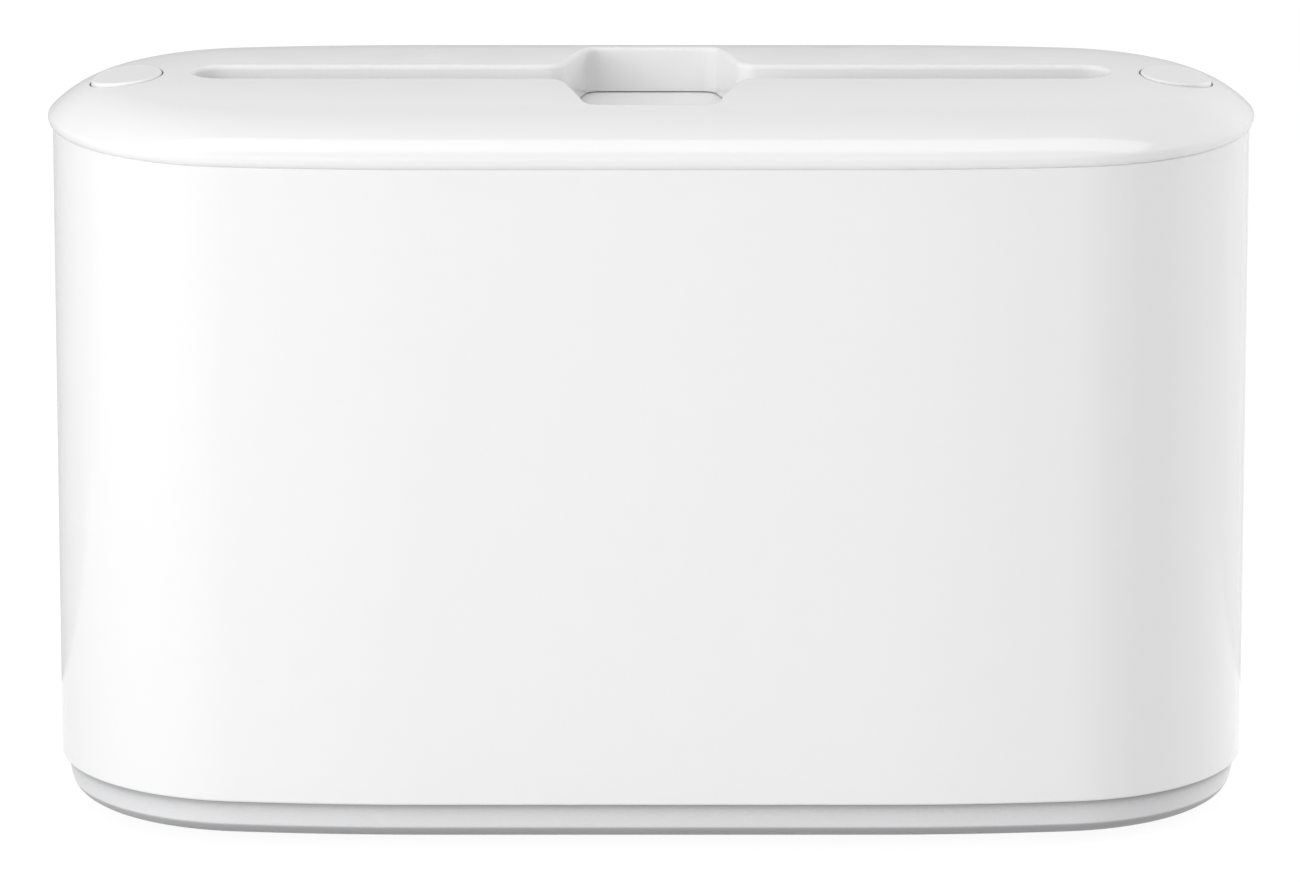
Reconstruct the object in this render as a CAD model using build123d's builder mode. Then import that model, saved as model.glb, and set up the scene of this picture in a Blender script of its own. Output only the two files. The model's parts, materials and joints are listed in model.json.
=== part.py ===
from build123d import *

import os
from math import asin, atan2, cos, degrees, pi, radians, sin, tan

# Countertop paper towel dispenser, in millimetres. X runs along the body, -Y is the front and Z is up.
# The origin is the middle of the footprint on the counter. Towels lie in a stack on a spring-lifted
# platform, and are pulled up through the slot and finger opening of a lid that lifts off.

# Plan of the lid: round ends, sides bowed slightly between the ends and the straight middle
lid_length = 322.0
lid_depth = 116.0
side_bow_radius = 445.8
end_half_angle = 83.1

# Heights above the counter
foot_proud = 3.0
base_height = 10.2
body_height = 173.6
lid_lip = 2.5

# Outer surface of the lid, from its widest line up to the flat crown
lid_edge_radius = 1.3
shoulder_radius = 29.0
shoulder_start_angle = 46.3
crown_radius = 166.0
crown_start_angle = 8.4
lid_overhang = 1.25
lid_wall = 2.6

# Body shell
body_wall = 2.8
body_edge = 0.7
rib_clearance = 0.35
locating_wall = 1.8
locating_depth = 6.0
side_rib_length = 104.0
end_rib_spacing = 48.0
end_rib_width = 10.0

# Towel slot and finger opening in the lid, at their clear width
slot_length = 244.0
slot_width = 15.4
finger_depth = 69.4
finger_front_width = 33.8
finger_middle_width = 47.5
finger_corner_radius = 4.0
slot_blend_radius = 6.0
rim_round = 1.3
throat_wall = 2.2
throat_depth = 12.8

# Release buttons, one at each end of the slot
button_inset = 21.0
button_length = 19.0
button_depth = 21.8
button_flat_radius = 13.0
button_gap = 0.35
button_proud = 0.8
button_wall = 2.2
pocket_corner = 4.5
button_steep_angle = 42.0
button_roof_depth = 3.6
button_travel = 2.6
guide_wall = 1.6
guide_depth = 8.6
guide_corner = 6.5
tab_lip = 1.2
tab_height = 1.2
tab_length = 8.0
tab_gap = 0.3
stem_radius = 2.4
spring_post_radius = 2.2

# Latch levers and the brackets that hold them under the lid
pivot_setback = 3.5
pivot_drop = 10.6
pin_radius = 1.5
pin_clearance = 0.05
lever_width = 9.0
lever_boss_radius = 3.6
lever_thickness = 4.0
lever_step = 1.0
pad_reach = 10.4
pad_radius = 2.4
pad_rise = 6.8
pad_bevel = 1.6
pad_gap = 0.15
hook_drop = 17.6
hook_reach = 16.4
hook_height = 7.0
hook_length = 6.4
hook_gap = 0.3
catch_overlap = 3.2
catch_width = 14.0
catch_edge = 1.4
bracket_plate = 2.0
bracket_cheek = 2.0
bracket_gap = 0.4
bracket_length = 17.0
boss_spacing = 34.0
boss_radius = 3.4
bow_thickness = 0.4
bow_width = 5.0
bow_span = 12.0
bow_rise = 4.4
bow_setback = 2.5
seat_gap = 0.3
pin_end = 0.6
catch_ramp = 5.0

# Lift platform and the carriers under its ends
platform_length = 246.0
platform_depth = 82.0
platform_plate = 2.4
platform_drop = 0.7
platform_corner = 8.0
platform_rib = 5.0
platform_rib_wall = 1.8
platform_rib_spacing = 47.0
coil_radius = 10.2
coil_gap = 0.3
coil_roof = 0.8
coil_margin = 1.8
ribbon_gap = 1.2
anchor_height = 6.9
drum_radius = 7.0
spindle_radius = 2.0
ribbon_width = 10.0
ribbon_thickness = 0.3
ribbon_clearance = 0.5
cheek_inner = 6.4
cheek_wall = 2.4
carrier_plate = 2.2
shoe_length = 20.0
shoe_head = 1.6
shoe_wing = 2.7
running_gap = 0.3
ear_drop = 4.0
ear_reach = 17.5
ear_length = 7.7
ear_margin = 1.0
ear_web = 2.0
spool_gap = 0.5

# Guide rails
rail_wall = 1.6
rail_gap = 0.9
rail_headroom = 1.5
rail_foot_length = 10.0
rail_foot_height = 3.0
rail_screw_spacing = 14.0

# Ribs, bosses and braces inside the body
magazine_gap = 1.0
rib_wall = 2.0
rib_pitch = 40.0
rib_top_clearance = 2.0
brace_wall = 2.0
brace_y = 11.0
brace_length = 90.0
brace_drop = 10.0
rib_foot_gap = 1.0

# Base plinth and feet
base_top_inset = 1.9
base_bottom_inset = 6.0
base_floor = 3.0
base_edge = 1.2
spigot_gap = 0.35
spigot_wall = 2.0
spigot_height = 8.0
spigot_root = 1.0
rail_pad = 4.0
foot_radius = 8.0
foot_inset_x = 45.0
foot_inset_y = 37.0

# Screws: radius of the thread, then radius and height of the head
base_screw = (1.7, 3.2, 2.2)
small_screw = (1.2, 2.4, 1.6)
tiny_screw = (0.8, 1.6, 0.8)
thread_clearance = 0.05
hole_clearance = 0.25
screw_boss_wall = 2.2
base_screw_inset_x = 24.0
base_screw_inset_y = 31.0
base_screw_length = 20.0
base_screw_depth = 8.0
small_screw_length = 6.0
tiny_screw_length = 4.0

# Flat sides that stand for small rounds and for curves that don't show
shoulder_facets = 5
inner_facets = 2
small_sides = 6
pin_sides = 16
foot_sides = 16
coil_sides = 20
bow_sides = 8
# Closer than this, two points count as one
touch = 0.01

# Heights and places that follow
base_bottom = foot_proud
body_bottom = base_bottom + base_height
seam = body_bottom + body_height
widest = seam + lid_lip
half_depth = lid_depth / 2
beta = radians(end_half_angle)
end_radius = (half_depth - side_bow_radius * (1 - sin(beta))) / sin(beta)
end_x = lid_length / 2 - end_radius
bow_x = end_x - (side_bow_radius - end_radius) * cos(beta)
bow_y = -(side_bow_radius - end_radius) * sin(beta)
body_inside = lid_overhang + body_wall
rib_outside = body_inside + rib_clearance
button_x = lid_length / 2 - button_inset
pivot_x = button_x - pivot_setback
floor_top = base_bottom + base_floor

# Centres of the arcs of the lid's section, as (inset from the lid's edge, height)
start = radians(shoulder_start_angle)
ease = radians(crown_start_angle)
edge_centre = (lid_edge_radius, widest)
shoulder_centre = (
    edge_centre[0] + (shoulder_radius - lid_edge_radius) * sin(start),
    edge_centre[1] - (shoulder_radius - lid_edge_radius) * cos(start),
)
crown_centre = (
    shoulder_centre[0] + (crown_radius - shoulder_radius) * sin(ease),
    shoulder_centre[1] - (crown_radius - shoulder_radius) * cos(ease),
)
lid_top = crown_centre[1] + crown_radius
# The tip arcs of the buttons' oval follow from its length, its depth and the flatter arcs
flat_offset = button_flat_radius - button_length / 2
button_tip_radius = (button_flat_radius**2 - (button_depth / 2) ** 2 - flat_offset**2) / (
    2 * button_flat_radius - button_depth
)
crown_inset = crown_centre[0]
throat_floor = lid_top - throat_depth
platform_top = throat_floor - platform_drop
platform_under = platform_top - platform_plate


def write(piece, name):
    """Label a finished piece and write it as parts/name.step."""
    piece.part.label = name
    export_step(piece.part, f"parts/{name}.step")


def write_pair(right, name):
    """Write a right-hand piece and its mirror image at the other end of the body."""
    with BuildPart() as left:
        mirror(right.part, about=Plane.YZ)
    write(left, f"{name}_left")
    write(right, f"{name}_right")


def plan(inset, height):
    """The plan of the lid drawn in by inset, as a sketch at the given height."""
    side_y = half_depth - inset
    with BuildSketch(Plane.XY.offset(height)) as outline:
        with BuildLine():
            for side, turn in ((1, 0), (-1, 180)):
                CenterArc((side * end_x, 0), end_radius - inset, turn - end_half_angle, 2 * end_half_angle)
                CenterArc(
                    (side * bow_x, side * bow_y),
                    side_bow_radius - inset,
                    turn + end_half_angle,
                    90 - end_half_angle,
                )
                CenterArc(
                    (side * bow_x, -side * bow_y), side_bow_radius - inset, turn - 90, 90 - end_half_angle
                )
                Line((-bow_x, side * side_y), (bow_x, side * side_y))
        make_face()
    return outline.sketch


def ring(outer_inset, inner_inset, height):
    """The band between two insets of the lid's plan."""
    with BuildSketch(Plane.XY.offset(height)) as band:
        add(plan(outer_inset, 0))
        add(plan(inner_inset, 0), mode=Mode.SUBTRACT)
    return band.sketch


def locating_ribs(outer_inset, wall, height):
    """Short lengths of the band inside the body that keep the lid or the base in line with it."""
    with BuildSketch(Plane.XY.offset(height)) as ribs:
        add(ring(outer_inset, outer_inset + wall, 0))
        with BuildSketch(mode=Mode.INTERSECT):
            Rectangle(side_rib_length, lid_depth)
            with Locations((0, -end_rib_spacing / 2), (0, end_rib_spacing / 2)):
                Rectangle(lid_length, end_rib_width)
    return ribs.sketch


def on_shoulder(lean, skin):
    """Point of the lid's shoulder, moved in by skin, where its normal leans out by lean degrees."""
    radius = shoulder_radius - skin
    return (
        shoulder_centre[0] - radius * sin(radians(lean)),
        shoulder_centre[1] + radius * cos(radians(lean)),
    )


def shoulder(skin, lean, steps):
    """Points of the shoulder moved in by skin, from the given lean up to where the crown starts."""
    leans = [lean - (lean - crown_start_angle) * i / steps for i in range(steps + 1)]
    return [on_shoulder(turn, skin) for turn in leans]


def lid_section(plane, reach, skin, inner, floor):
    """Section of the lid from its edge at x = reach in to x = inner, or from skin under its surface."""
    if skin:
        wall_lean = degrees(asin((shoulder_centre[0] - skin) / (shoulder_radius - skin)))
        curve = [(skin, floor), *shoulder(skin, wall_lean, inner_facets)]
    else:
        curve = [(lid_overhang, floor), (0, widest), *shoulder(0, shoulder_start_angle, shoulder_facets)]
    with BuildSketch(plane) as section:
        with BuildLine():
            Polyline(
                *[(reach - x, z) for x, z in curve],
                (reach - crown_inset, lid_top - skin),
                (inner, lid_top - skin),
                (inner, floor),
                close=True,
            )
        make_face()
    return section.sketch


def dome(skin, floor):
    """The solid under the lid's outer surface, or under one that lies skin inside it."""
    end_plane = Plane((end_x, 0, 0), x_dir=(1, 0, 0), z_dir=(0, -1, 0))
    bow_plane = Plane((bow_x, bow_y, 0), x_dir=(cos(beta), sin(beta), 0), z_dir=(sin(beta), -cos(beta), 0))
    middle_plane = Plane((-bow_x, 0, 0), x_dir=(0, 1, 0), z_dir=(1, 0, 0))
    bow_inner = side_bow_radius - half_depth
    with BuildPart() as whole:
        extrude(lid_section(middle_plane, half_depth, skin, 0, floor), amount=2 * bow_x)
        revolve(
            lid_section(bow_plane, side_bow_radius, skin, bow_inner, floor),
            axis=Axis((bow_x, bow_y, 0), (0, 0, 1)),
            revolution_arc=90 - end_half_angle,
        )
        mirror(about=Plane.YZ)
        mirror(about=Plane.XZ)
        revolve(lid_section(end_plane, end_radius, skin, 0, floor), axis=Axis((end_x, 0, 0), (0, 0, 1)))
        mirror(about=Plane.YZ)
    return whole.part


def finger_sides():
    """Corners of the finger opening, before they are rounded."""
    front = [
        (finger_middle_width / 2, -slot_width / 2),
        (finger_front_width / 2, -finger_depth / 2),
        (-finger_front_width / 2, -finger_depth / 2),
        (-finger_middle_width / 2, -slot_width / 2),
    ]
    return front + [(-x, -y) for x, y in front]


def opening(height):
    """Towel slot joined to the finger opening, at their clear size."""
    with BuildSketch(Plane.XY.offset(height)) as outline:
        Polygon(*finger_sides(), align=None)
        rows = outline.vertices().group_by(Axis.Y)
        fillet(rows[0] + rows[-1], finger_corner_radius)
        SlotOverall(slot_length, slot_width)
        inner_corners = outline.vertices().filter_by(
            lambda v: abs(abs(v.Y) - slot_width / 2) < touch and abs(v.X) < finger_middle_width
        )
        fillet(inner_corners, slot_blend_radius)
    return outline.sketch


def throat_block(height):
    """Square-cornered outline of the walls round the towel slot and finger opening."""
    with BuildSketch(Plane.XY.offset(height)) as outline:
        Polygon(*finger_sides(), align=None)
        Rectangle(slot_length, slot_width)
        offset(amount=throat_wall, kind=Kind.INTERSECTION)
    return outline.sketch


def oval(margin, height):
    """Oval of the right-hand release button, grown by margin: two flatter and two rounder arcs."""
    flat_centre = button_flat_radius - button_length / 2
    tip_centre = button_depth / 2 - button_tip_radius
    turn = degrees(atan2(tip_centre, flat_centre))
    with BuildSketch(Plane.XY.offset(height)) as outline:
        with BuildLine():
            for side in (0, 180):
                x = button_x - flat_centre * (1 if side == 0 else -1)
                y = tip_centre * (1 if side == 0 else -1)
                CenterArc((x, 0), button_flat_radius + margin, side - turn, 2 * turn)
                CenterArc((button_x, y), button_tip_radius + margin, side + turn, 180 - 2 * turn)
        make_face()
    return outline.sketch


def ovals(margin, height):
    """The ovals of both release buttons."""
    with BuildSketch(Plane.XY.offset(height)) as outlines:
        add(oval(margin, 0))
        mirror(about=Plane.YZ)
    return outlines.sketch


def rim_edges(part, outline, low):
    """Edges of a part above height low that stand on the given outline."""
    flat = outline.wires()
    return part.edges().filter_by(
        lambda e: (e @ 0.5).Z > low
        and min(w.distance_to(Vector((e @ 0.5).X, (e @ 0.5).Y, 0)) for w in flat) < touch
    )


def around(radius, sides):
    """Corner radius of the regular polygon that a circle just fits inside."""
    return radius / cos(pi / sides)


def screw(size, length):
    """Pan-head screw hanging below z = 0 with its head above. Flat sides stand for small rounds."""
    thread, head, height = size
    with BuildPart() as piece:
        with BuildSketch(Plane.XY):
            RegularPolygon(head, small_sides)
        extrude(amount=height)
        with BuildSketch(Plane.XY):
            RegularPolygon(thread, small_sides)
        extrude(amount=-length)
    return piece.part


os.makedirs("parts", exist_ok=True)

# Lid cover
tab_top = lid_top - guide_depth - tab_gap
tab_bottom = tab_top - tab_height
bracket_top = tab_bottom - button_travel - seat_gap
bracket_under = bracket_top - bracket_plate
rib_foot = seam - locating_depth
bracket_screws_at = [
    (side * button_x, row * boss_spacing / 2) for side in (-1, 1) for row in (-1, 1)
]

with BuildPart() as lid_inner:
    extrude(locating_ribs(rib_outside, locating_wall, rib_foot), amount=lid_top - rib_foot)
    extrude(throat_block(throat_floor), amount=lid_top - throat_floor)
    with BuildSketch(Plane.XY.offset(lid_top - guide_depth)) as guides:
        with Locations((-button_x, 0), (button_x, 0)):
            Rectangle(
                button_length + 2 * (button_gap + guide_wall), button_depth + 2 * (button_gap + guide_wall)
            )
        chamfer(guides.vertices(), guide_corner)
    extrude(amount=guide_depth)
    with BuildSketch(Plane.XY.offset(bracket_top)):
        with Locations(*bracket_screws_at):
            RegularPolygon(boss_radius, small_sides)
    extrude(amount=lid_top - bracket_top)
    add(dome(lid_wall / 2, rib_foot), mode=Mode.INTERSECT)

with BuildPart() as lid_cover:
    add(dome(0, seam))
    add(dome(lid_wall, seam), mode=Mode.SUBTRACT)
    add(lid_inner.part)
    extrude(opening(throat_floor), amount=lid_top - throat_floor, mode=Mode.SUBTRACT)
    extrude(ovals(button_gap, seam), amount=lid_top - seam, mode=Mode.SUBTRACT)
    with BuildSketch(Plane.XY.offset(bracket_top)):
        with Locations(*bracket_screws_at):
            RegularPolygon(small_screw[0] + thread_clearance, small_sides)
    extrude(amount=small_screw_length, mode=Mode.SUBTRACT)
    chamfer(rim_edges(lid_cover, opening(0), lid_top - rim_round), rim_round)
write(lid_cover, "lid_cover")

# Release buttons: an oval cap with snap tabs that keep it in, a stem for the lever and a spring post
pad_x = pivot_x + pad_reach
pivot_z = seam - pivot_drop
pad_top = pivot_z + pad_rise
button_roof = lid_top - button_roof_depth
spring_x = button_x - bow_setback
pocket_length = button_length - 2 * button_wall
pocket_depth = button_depth - 2 * button_wall

button_floor = pad_top + pad_gap
with BuildPart() as button_space:
    with BuildSketch(Plane((0, button_depth, 0), x_dir=(1, 0, 0), z_dir=(0, -1, 0))):
        with BuildLine():
            steep = on_shoulder(button_steep_angle, -button_proud)
            gentle = on_shoulder(crown_start_angle, -button_proud)
            reach = lid_length / 2
            CenterArc(
                (reach - shoulder_centre[0], shoulder_centre[1]),
                shoulder_radius + button_proud,
                90 - button_steep_angle,
                button_steep_angle - crown_start_angle,
            )
            Polyline(
                (reach - gentle[0], gentle[1]),
                (reach - crown_inset, lid_top + button_proud),
                (reach - crown_inset, button_floor),
                (reach - steep[0], button_floor),
                (reach - steep[0], steep[1]),
            )
        make_face()
    extrude(amount=2 * button_depth)

with BuildPart() as button_posts:
    with BuildSketch(Plane.XY.offset(button_floor)):
        with Locations((pad_x, 0)):
            RegularPolygon(stem_radius, small_sides)
    extrude(amount=button_roof - button_floor)
    with BuildSketch(Plane.XY.offset(bracket_top + bow_rise + seat_gap)):
        with Locations((spring_x, 0)):
            RegularPolygon(spring_post_radius, small_sides)
    extrude(amount=button_roof - bracket_top - bow_rise - seat_gap)

with BuildPart() as release_button:
    extrude(oval(0, tab_bottom), amount=lid_top + button_proud - tab_bottom)
    with BuildSketch(Plane.XY.offset(tab_bottom)):
        with Locations((button_x, 0)):
            Rectangle(tab_length, button_depth + 2 * tab_lip)
    extrude(amount=tab_height)
    with BuildSketch(Plane.XY.offset(tab_bottom)) as pocket:
        with Locations((button_x, 0)):
            Rectangle(pocket_length, pocket_depth)
        chamfer(pocket.vertices(), pocket_corner)
    extrude(amount=button_roof - tab_bottom, mode=Mode.SUBTRACT)
    add(button_posts.part)
    add(button_space.part, mode=Mode.INTERSECT)
write_pair(release_button, "release_button")

# Latch levers: a hub on the pin, a pad under the button's stem and a hook under the body's catch
hook_under = pivot_z - hook_drop
hook_top = hook_under + hook_height
catch_under = hook_top + hook_gap
hook_tip = pivot_x + hook_reach
lever_plane = Plane((0, lever_width / 2, 0), x_dir=(1, 0, 0), z_dir=(0, -1, 0))
with BuildPart() as latch_lever:
    with BuildSketch(lever_plane):
        with Locations((pivot_x, pivot_z)):
            Circle(lever_boss_radius)
        with BuildLine():
            Polyline(
                (pivot_x - lever_step, pivot_z + lever_boss_radius - lever_step),
                (pad_x - lever_step, pad_top),
                (pad_x + pad_radius - pad_bevel / 2, pad_top),
                (pad_x + pad_radius, pad_top - pad_bevel),
                (pad_x + lever_step, pad_top - lever_thickness),
                (pivot_x + lever_thickness, pivot_z),
                (hook_tip - hook_length, hook_top + lever_thickness),
                (hook_tip - hook_length + 2 * lever_step, hook_top),
                (hook_tip, hook_top),
                (hook_tip, hook_top - 2 * lever_step),
                (hook_tip - hook_length, hook_under),
                (hook_tip - hook_length - 3 * lever_step, hook_under + lever_step),
                (pivot_x - 2 * lever_step, pivot_z - 2 * lever_step),
                close=True,
            )
        make_face()
        with Locations((pivot_x, pivot_z)):
            RegularPolygon(around(pin_radius + pin_clearance, pin_sides), pin_sides, mode=Mode.SUBTRACT)
    extrude(amount=lever_width)
write_pair(latch_lever, "latch_lever")

# Brackets under the lid: a plate on two bosses, with cheeks that carry the lever's pin
cheek_y = lever_width / 2 + bracket_gap
with BuildPart() as latch_bracket:
    with BuildSketch(Plane.XY.offset(bracket_under)):
        with Locations((button_x, 0)):
            Rectangle(bracket_length, boss_spacing + 2 * boss_radius)
        with Locations((pad_x - stem_radius - 2 * hole_clearance, 0)):
            Rectangle(
                bracket_length,
                2 * stem_radius + 4 * hole_clearance,
                align=(Align.MIN, Align.CENTER),
                mode=Mode.SUBTRACT,
            )
        with Locations((button_x, -boss_spacing / 2), (button_x, boss_spacing / 2)):
            RegularPolygon(small_screw[0] + hole_clearance, small_sides, mode=Mode.SUBTRACT)
    extrude(amount=bracket_plate)
    for side in (-1, 1):
        cheek_plane = Plane((0, side * cheek_y, 0), x_dir=(1, 0, 0), z_dir=(0, -1, 0))
        with BuildSketch(cheek_plane):
            with Locations((pivot_x, pivot_z - lever_boss_radius)):
                Rectangle(
                    2 * lever_boss_radius,
                    bracket_under - pivot_z + lever_boss_radius,
                    align=(Align.CENTER, Align.MIN),
                )
        extrude(amount=-side * bracket_cheek)
    with BuildSketch(Plane((0, cheek_y + bracket_cheek, 0), x_dir=(1, 0, 0), z_dir=(0, -1, 0))):
        with Locations((pivot_x, pivot_z)):
            RegularPolygon(around(pin_radius + pin_clearance, small_sides), small_sides)
    extrude(amount=2 * (cheek_y + bracket_cheek), mode=Mode.SUBTRACT)
write_pair(latch_bracket, "latch_bracket")

pin_half = cheek_y + bracket_cheek + pin_end
with BuildPart() as latch_pin:
    with BuildSketch(Plane((0, pin_half, 0), x_dir=(1, 0, 0), z_dir=(0, -1, 0))):
        with Locations((pivot_x, pivot_z)):
            RegularPolygon(pin_radius, pin_sides)
    extrude(amount=2 * pin_half)
write_pair(latch_pin, "latch_pin")

# Bowed strip springs that return the buttons and levers
def bow(span, rise):
    """Points of a bow over y, from end to end."""
    steps = [i / bow_sides for i in range(bow_sides + 1)]
    return [(span * (s - 1 / 2), 4 * rise * s * (1 - s)) for s in steps]


with BuildPart() as button_spring:
    with BuildSketch(Plane((spring_x - bow_width / 2, 0, bracket_top), x_dir=(0, 1, 0), z_dir=(1, 0, 0))):
        with BuildLine():
            under = bow(bow_span - 2 * bow_thickness, bow_rise - bow_thickness)
            Polyline(*bow(bow_span, bow_rise), *reversed(under), close=True)
        make_face()
    extrude(amount=bow_width)
write_pair(button_spring, "button_spring")

with BuildPart() as bracket_screws:
    with Locations(*[Location((x, y, bracket_under), (180, 0, 0)) for x, y in bracket_screws_at]):
        add(screw(small_screw, small_screw_length))
write(bracket_screws, "bracket_screws")

# Places of the lift mechanism: ribbon, coil, shoes and rails
ribbon_x = platform_length / 2 + ribbon_gap
coil_x = ribbon_x - coil_gap - coil_radius
carrier_under = platform_under - carrier_plate
coil_z = carrier_under - coil_roof - coil_radius
rail_top = platform_under - rail_headroom
shoe_top = rail_top - anchor_height - running_gap
shoe_bottom = shoe_top - shoe_length
anchor_face = ribbon_x + ribbon_thickness
rail_face = anchor_face + rail_gap
shoe_face = rail_face + rail_wall + running_gap
web_face = shoe_face + shoe_head + running_gap
rail_back = web_face + rail_wall
cheek_outer = cheek_inner + cheek_wall
slot_half = cheek_outer + running_gap
channel_half = cheek_outer + shoe_wing + running_gap
rail_half = channel_half + rail_wall
rail_foot_top = floor_top + rail_pad + rail_foot_height
anchor_z = rail_top - anchor_height / 2

# Body shell: an open tube with guide ribs for the towels, catches, braces and screw bosses
boss_meet = body_bottom + spigot_height
boss_tube = base_screw[0] + thread_clearance + screw_boss_wall
brace_top = hook_under - brace_drop
rib_bottom = boss_meet + rib_foot_gap
brace_x = rail_back + running_gap
rib_y = platform_depth / 2 + magazine_gap
base_screw_x = lid_length / 2 - base_screw_inset_x
base_screw_y = half_depth - base_screw_inset_y
body_screws_at = [(i * base_screw_x, j * base_screw_y) for i in (-1, 1) for j in (-1, 1)]

with BuildPart() as body_inner:
    with BuildSketch(Plane.XY.offset(rib_bottom)):
        for side in (-1, 1):
            with Locations(*[(i * rib_pitch, side * rib_y) for i in (-2.5, -1.5, -0.5, 0.5, 1.5, 2.5)]):
                Rectangle(rib_wall, half_depth, align=(Align.CENTER, Align.MIN if side > 0 else Align.MAX))
    extrude(amount=rib_foot - rib_top_clearance - rib_bottom)
    with BuildSketch(Plane.XY.offset(brace_top - brace_length)):
        for side in (-1, 1):
            outward = Align.MIN if side > 0 else Align.MAX
            with Locations((side * brace_x, -brace_y), (side * brace_x, brace_y)):
                Rectangle(lid_length / 4, brace_wall, align=(outward, Align.CENTER))
    extrude(amount=brace_length)
    with BuildSketch(Plane.XY.offset(boss_meet)):
        with Locations(*body_screws_at):
            RegularPolygon(boss_tube, small_sides)
        for x, y in body_screws_at:
            with Locations(Location((x, y), degrees(atan2(y, x - (end_x if x > 0 else -end_x))))):
                Rectangle(lid_depth / 4, rib_wall, align=(Align.MIN, Align.CENTER))
    extrude(amount=base_screw_length)
    catch_plane = Plane((0, catch_width / 2, 0), x_dir=(1, 0, 0), z_dir=(0, -1, 0))
    with BuildSketch(catch_plane):
        for side in (-1, 1):
            with BuildLine():
                Polyline(
                    (side * (hook_tip - catch_overlap), catch_under),
                    (side * (hook_tip - catch_overlap), catch_under + catch_edge),
                    (side * lid_length / 2, catch_under + catch_edge + catch_ramp),
                    (side * lid_length / 2, catch_under),
                    close=True,
                )
            make_face()
    extrude(amount=catch_width)
    extrude(plan(lid_overhang + body_wall / 2, body_bottom), amount=body_height, mode=Mode.INTERSECT)

with BuildPart() as body_shell:
    extrude(plan(lid_overhang, body_bottom), amount=body_height)
    chamfer(body_shell.edges().group_by(Axis.Z)[0], body_edge)
    extrude(plan(body_inside, body_bottom), amount=body_height, mode=Mode.SUBTRACT)
    add(body_inner.part)
    with BuildSketch(Plane.XY.offset(boss_meet)):
        with Locations(*body_screws_at):
            RegularPolygon(base_screw[0] + thread_clearance, small_sides)
    extrude(amount=base_screw_length - base_screw_depth, mode=Mode.SUBTRACT)
write(body_shell, "body_shell")

# Base plinth: a tapered tray whose spigot fits inside the body
base_lean = degrees(atan2(base_bottom_inset - base_top_inset, base_height))
spigot_outside = body_inside + spigot_gap
spigot_inside = spigot_outside + spigot_wall
floor_inset = spigot_inside + (body_bottom - floor_top) * tan(radians(base_lean))
head_seat = base_bottom + base_screw_depth
foot_x = lid_length / 2 - foot_inset_x
foot_y = half_depth - foot_inset_y
feet_at = [(i * foot_x, j * foot_y) for i in (-1, 1) for j in (-1, 1)]
rail_screw_x = rail_back + rail_foot_length / 2
rail_screws_at = [(i * rail_screw_x, j * rail_screw_spacing / 2) for i in (-1, 1) for j in (-1, 1)]

with BuildPart() as base_plinth:
    extrude(plan(lid_overhang + base_bottom_inset, base_bottom), amount=base_height, taper=-base_lean)
    chamfer(base_plinth.edges().group_by(Axis.Z)[0], base_edge)
    tray_depth = body_bottom - floor_top
    extrude(plan(floor_inset, floor_top), amount=tray_depth, taper=-base_lean, mode=Mode.SUBTRACT)
    spigot = locating_ribs(spigot_outside, spigot_wall, body_bottom - spigot_root)
    extrude(spigot, amount=spigot_height + spigot_root)
    with BuildSketch(Plane.XY.offset(floor_top)):
        with Locations(*body_screws_at):
            RegularPolygon(base_screw[1] + 2 * hole_clearance + spigot_wall, small_sides)
    extrude(amount=boss_meet - floor_top)
    with BuildSketch(Plane.XY.offset(floor_top)):
        with Locations((-rail_screw_x, 0), (rail_screw_x, 0)):
            Rectangle(rail_foot_length, 2 * brace_y)
    extrude(amount=rail_pad)
    with BuildSketch(Plane.XY.offset(base_bottom)):
        with Locations(*body_screws_at):
            RegularPolygon(base_screw[1] + 2 * hole_clearance, small_sides)
    extrude(amount=base_screw_depth, mode=Mode.SUBTRACT)
    with BuildSketch(Plane.XY.offset(base_bottom)):
        with Locations(*body_screws_at):
            RegularPolygon(base_screw[0] + hole_clearance, small_sides)
    extrude(amount=boss_meet - base_bottom, mode=Mode.SUBTRACT)
    with BuildSketch(Plane.XY.offset(floor_top + rail_pad)):
        with Locations(*rail_screws_at):
            RegularPolygon(small_screw[0] + thread_clearance, small_sides)
    extrude(amount=rail_foot_height - small_screw_length - seat_gap, mode=Mode.SUBTRACT)
write(base_plinth, "base_plinth")

with BuildPart() as base_screws:
    with Locations(*[Location((x, y, head_seat), (180, 0, 0)) for x, y in body_screws_at]):
        add(screw(base_screw, base_screw_length))
write(base_screws, "base_screws")

with BuildPart() as rubber_feet:
    with BuildSketch(Plane.XY):
        with Locations(*feet_at):
            RegularPolygon(foot_radius, foot_sides)
    extrude(amount=foot_proud)
write(rubber_feet, "rubber_feet")

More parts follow.
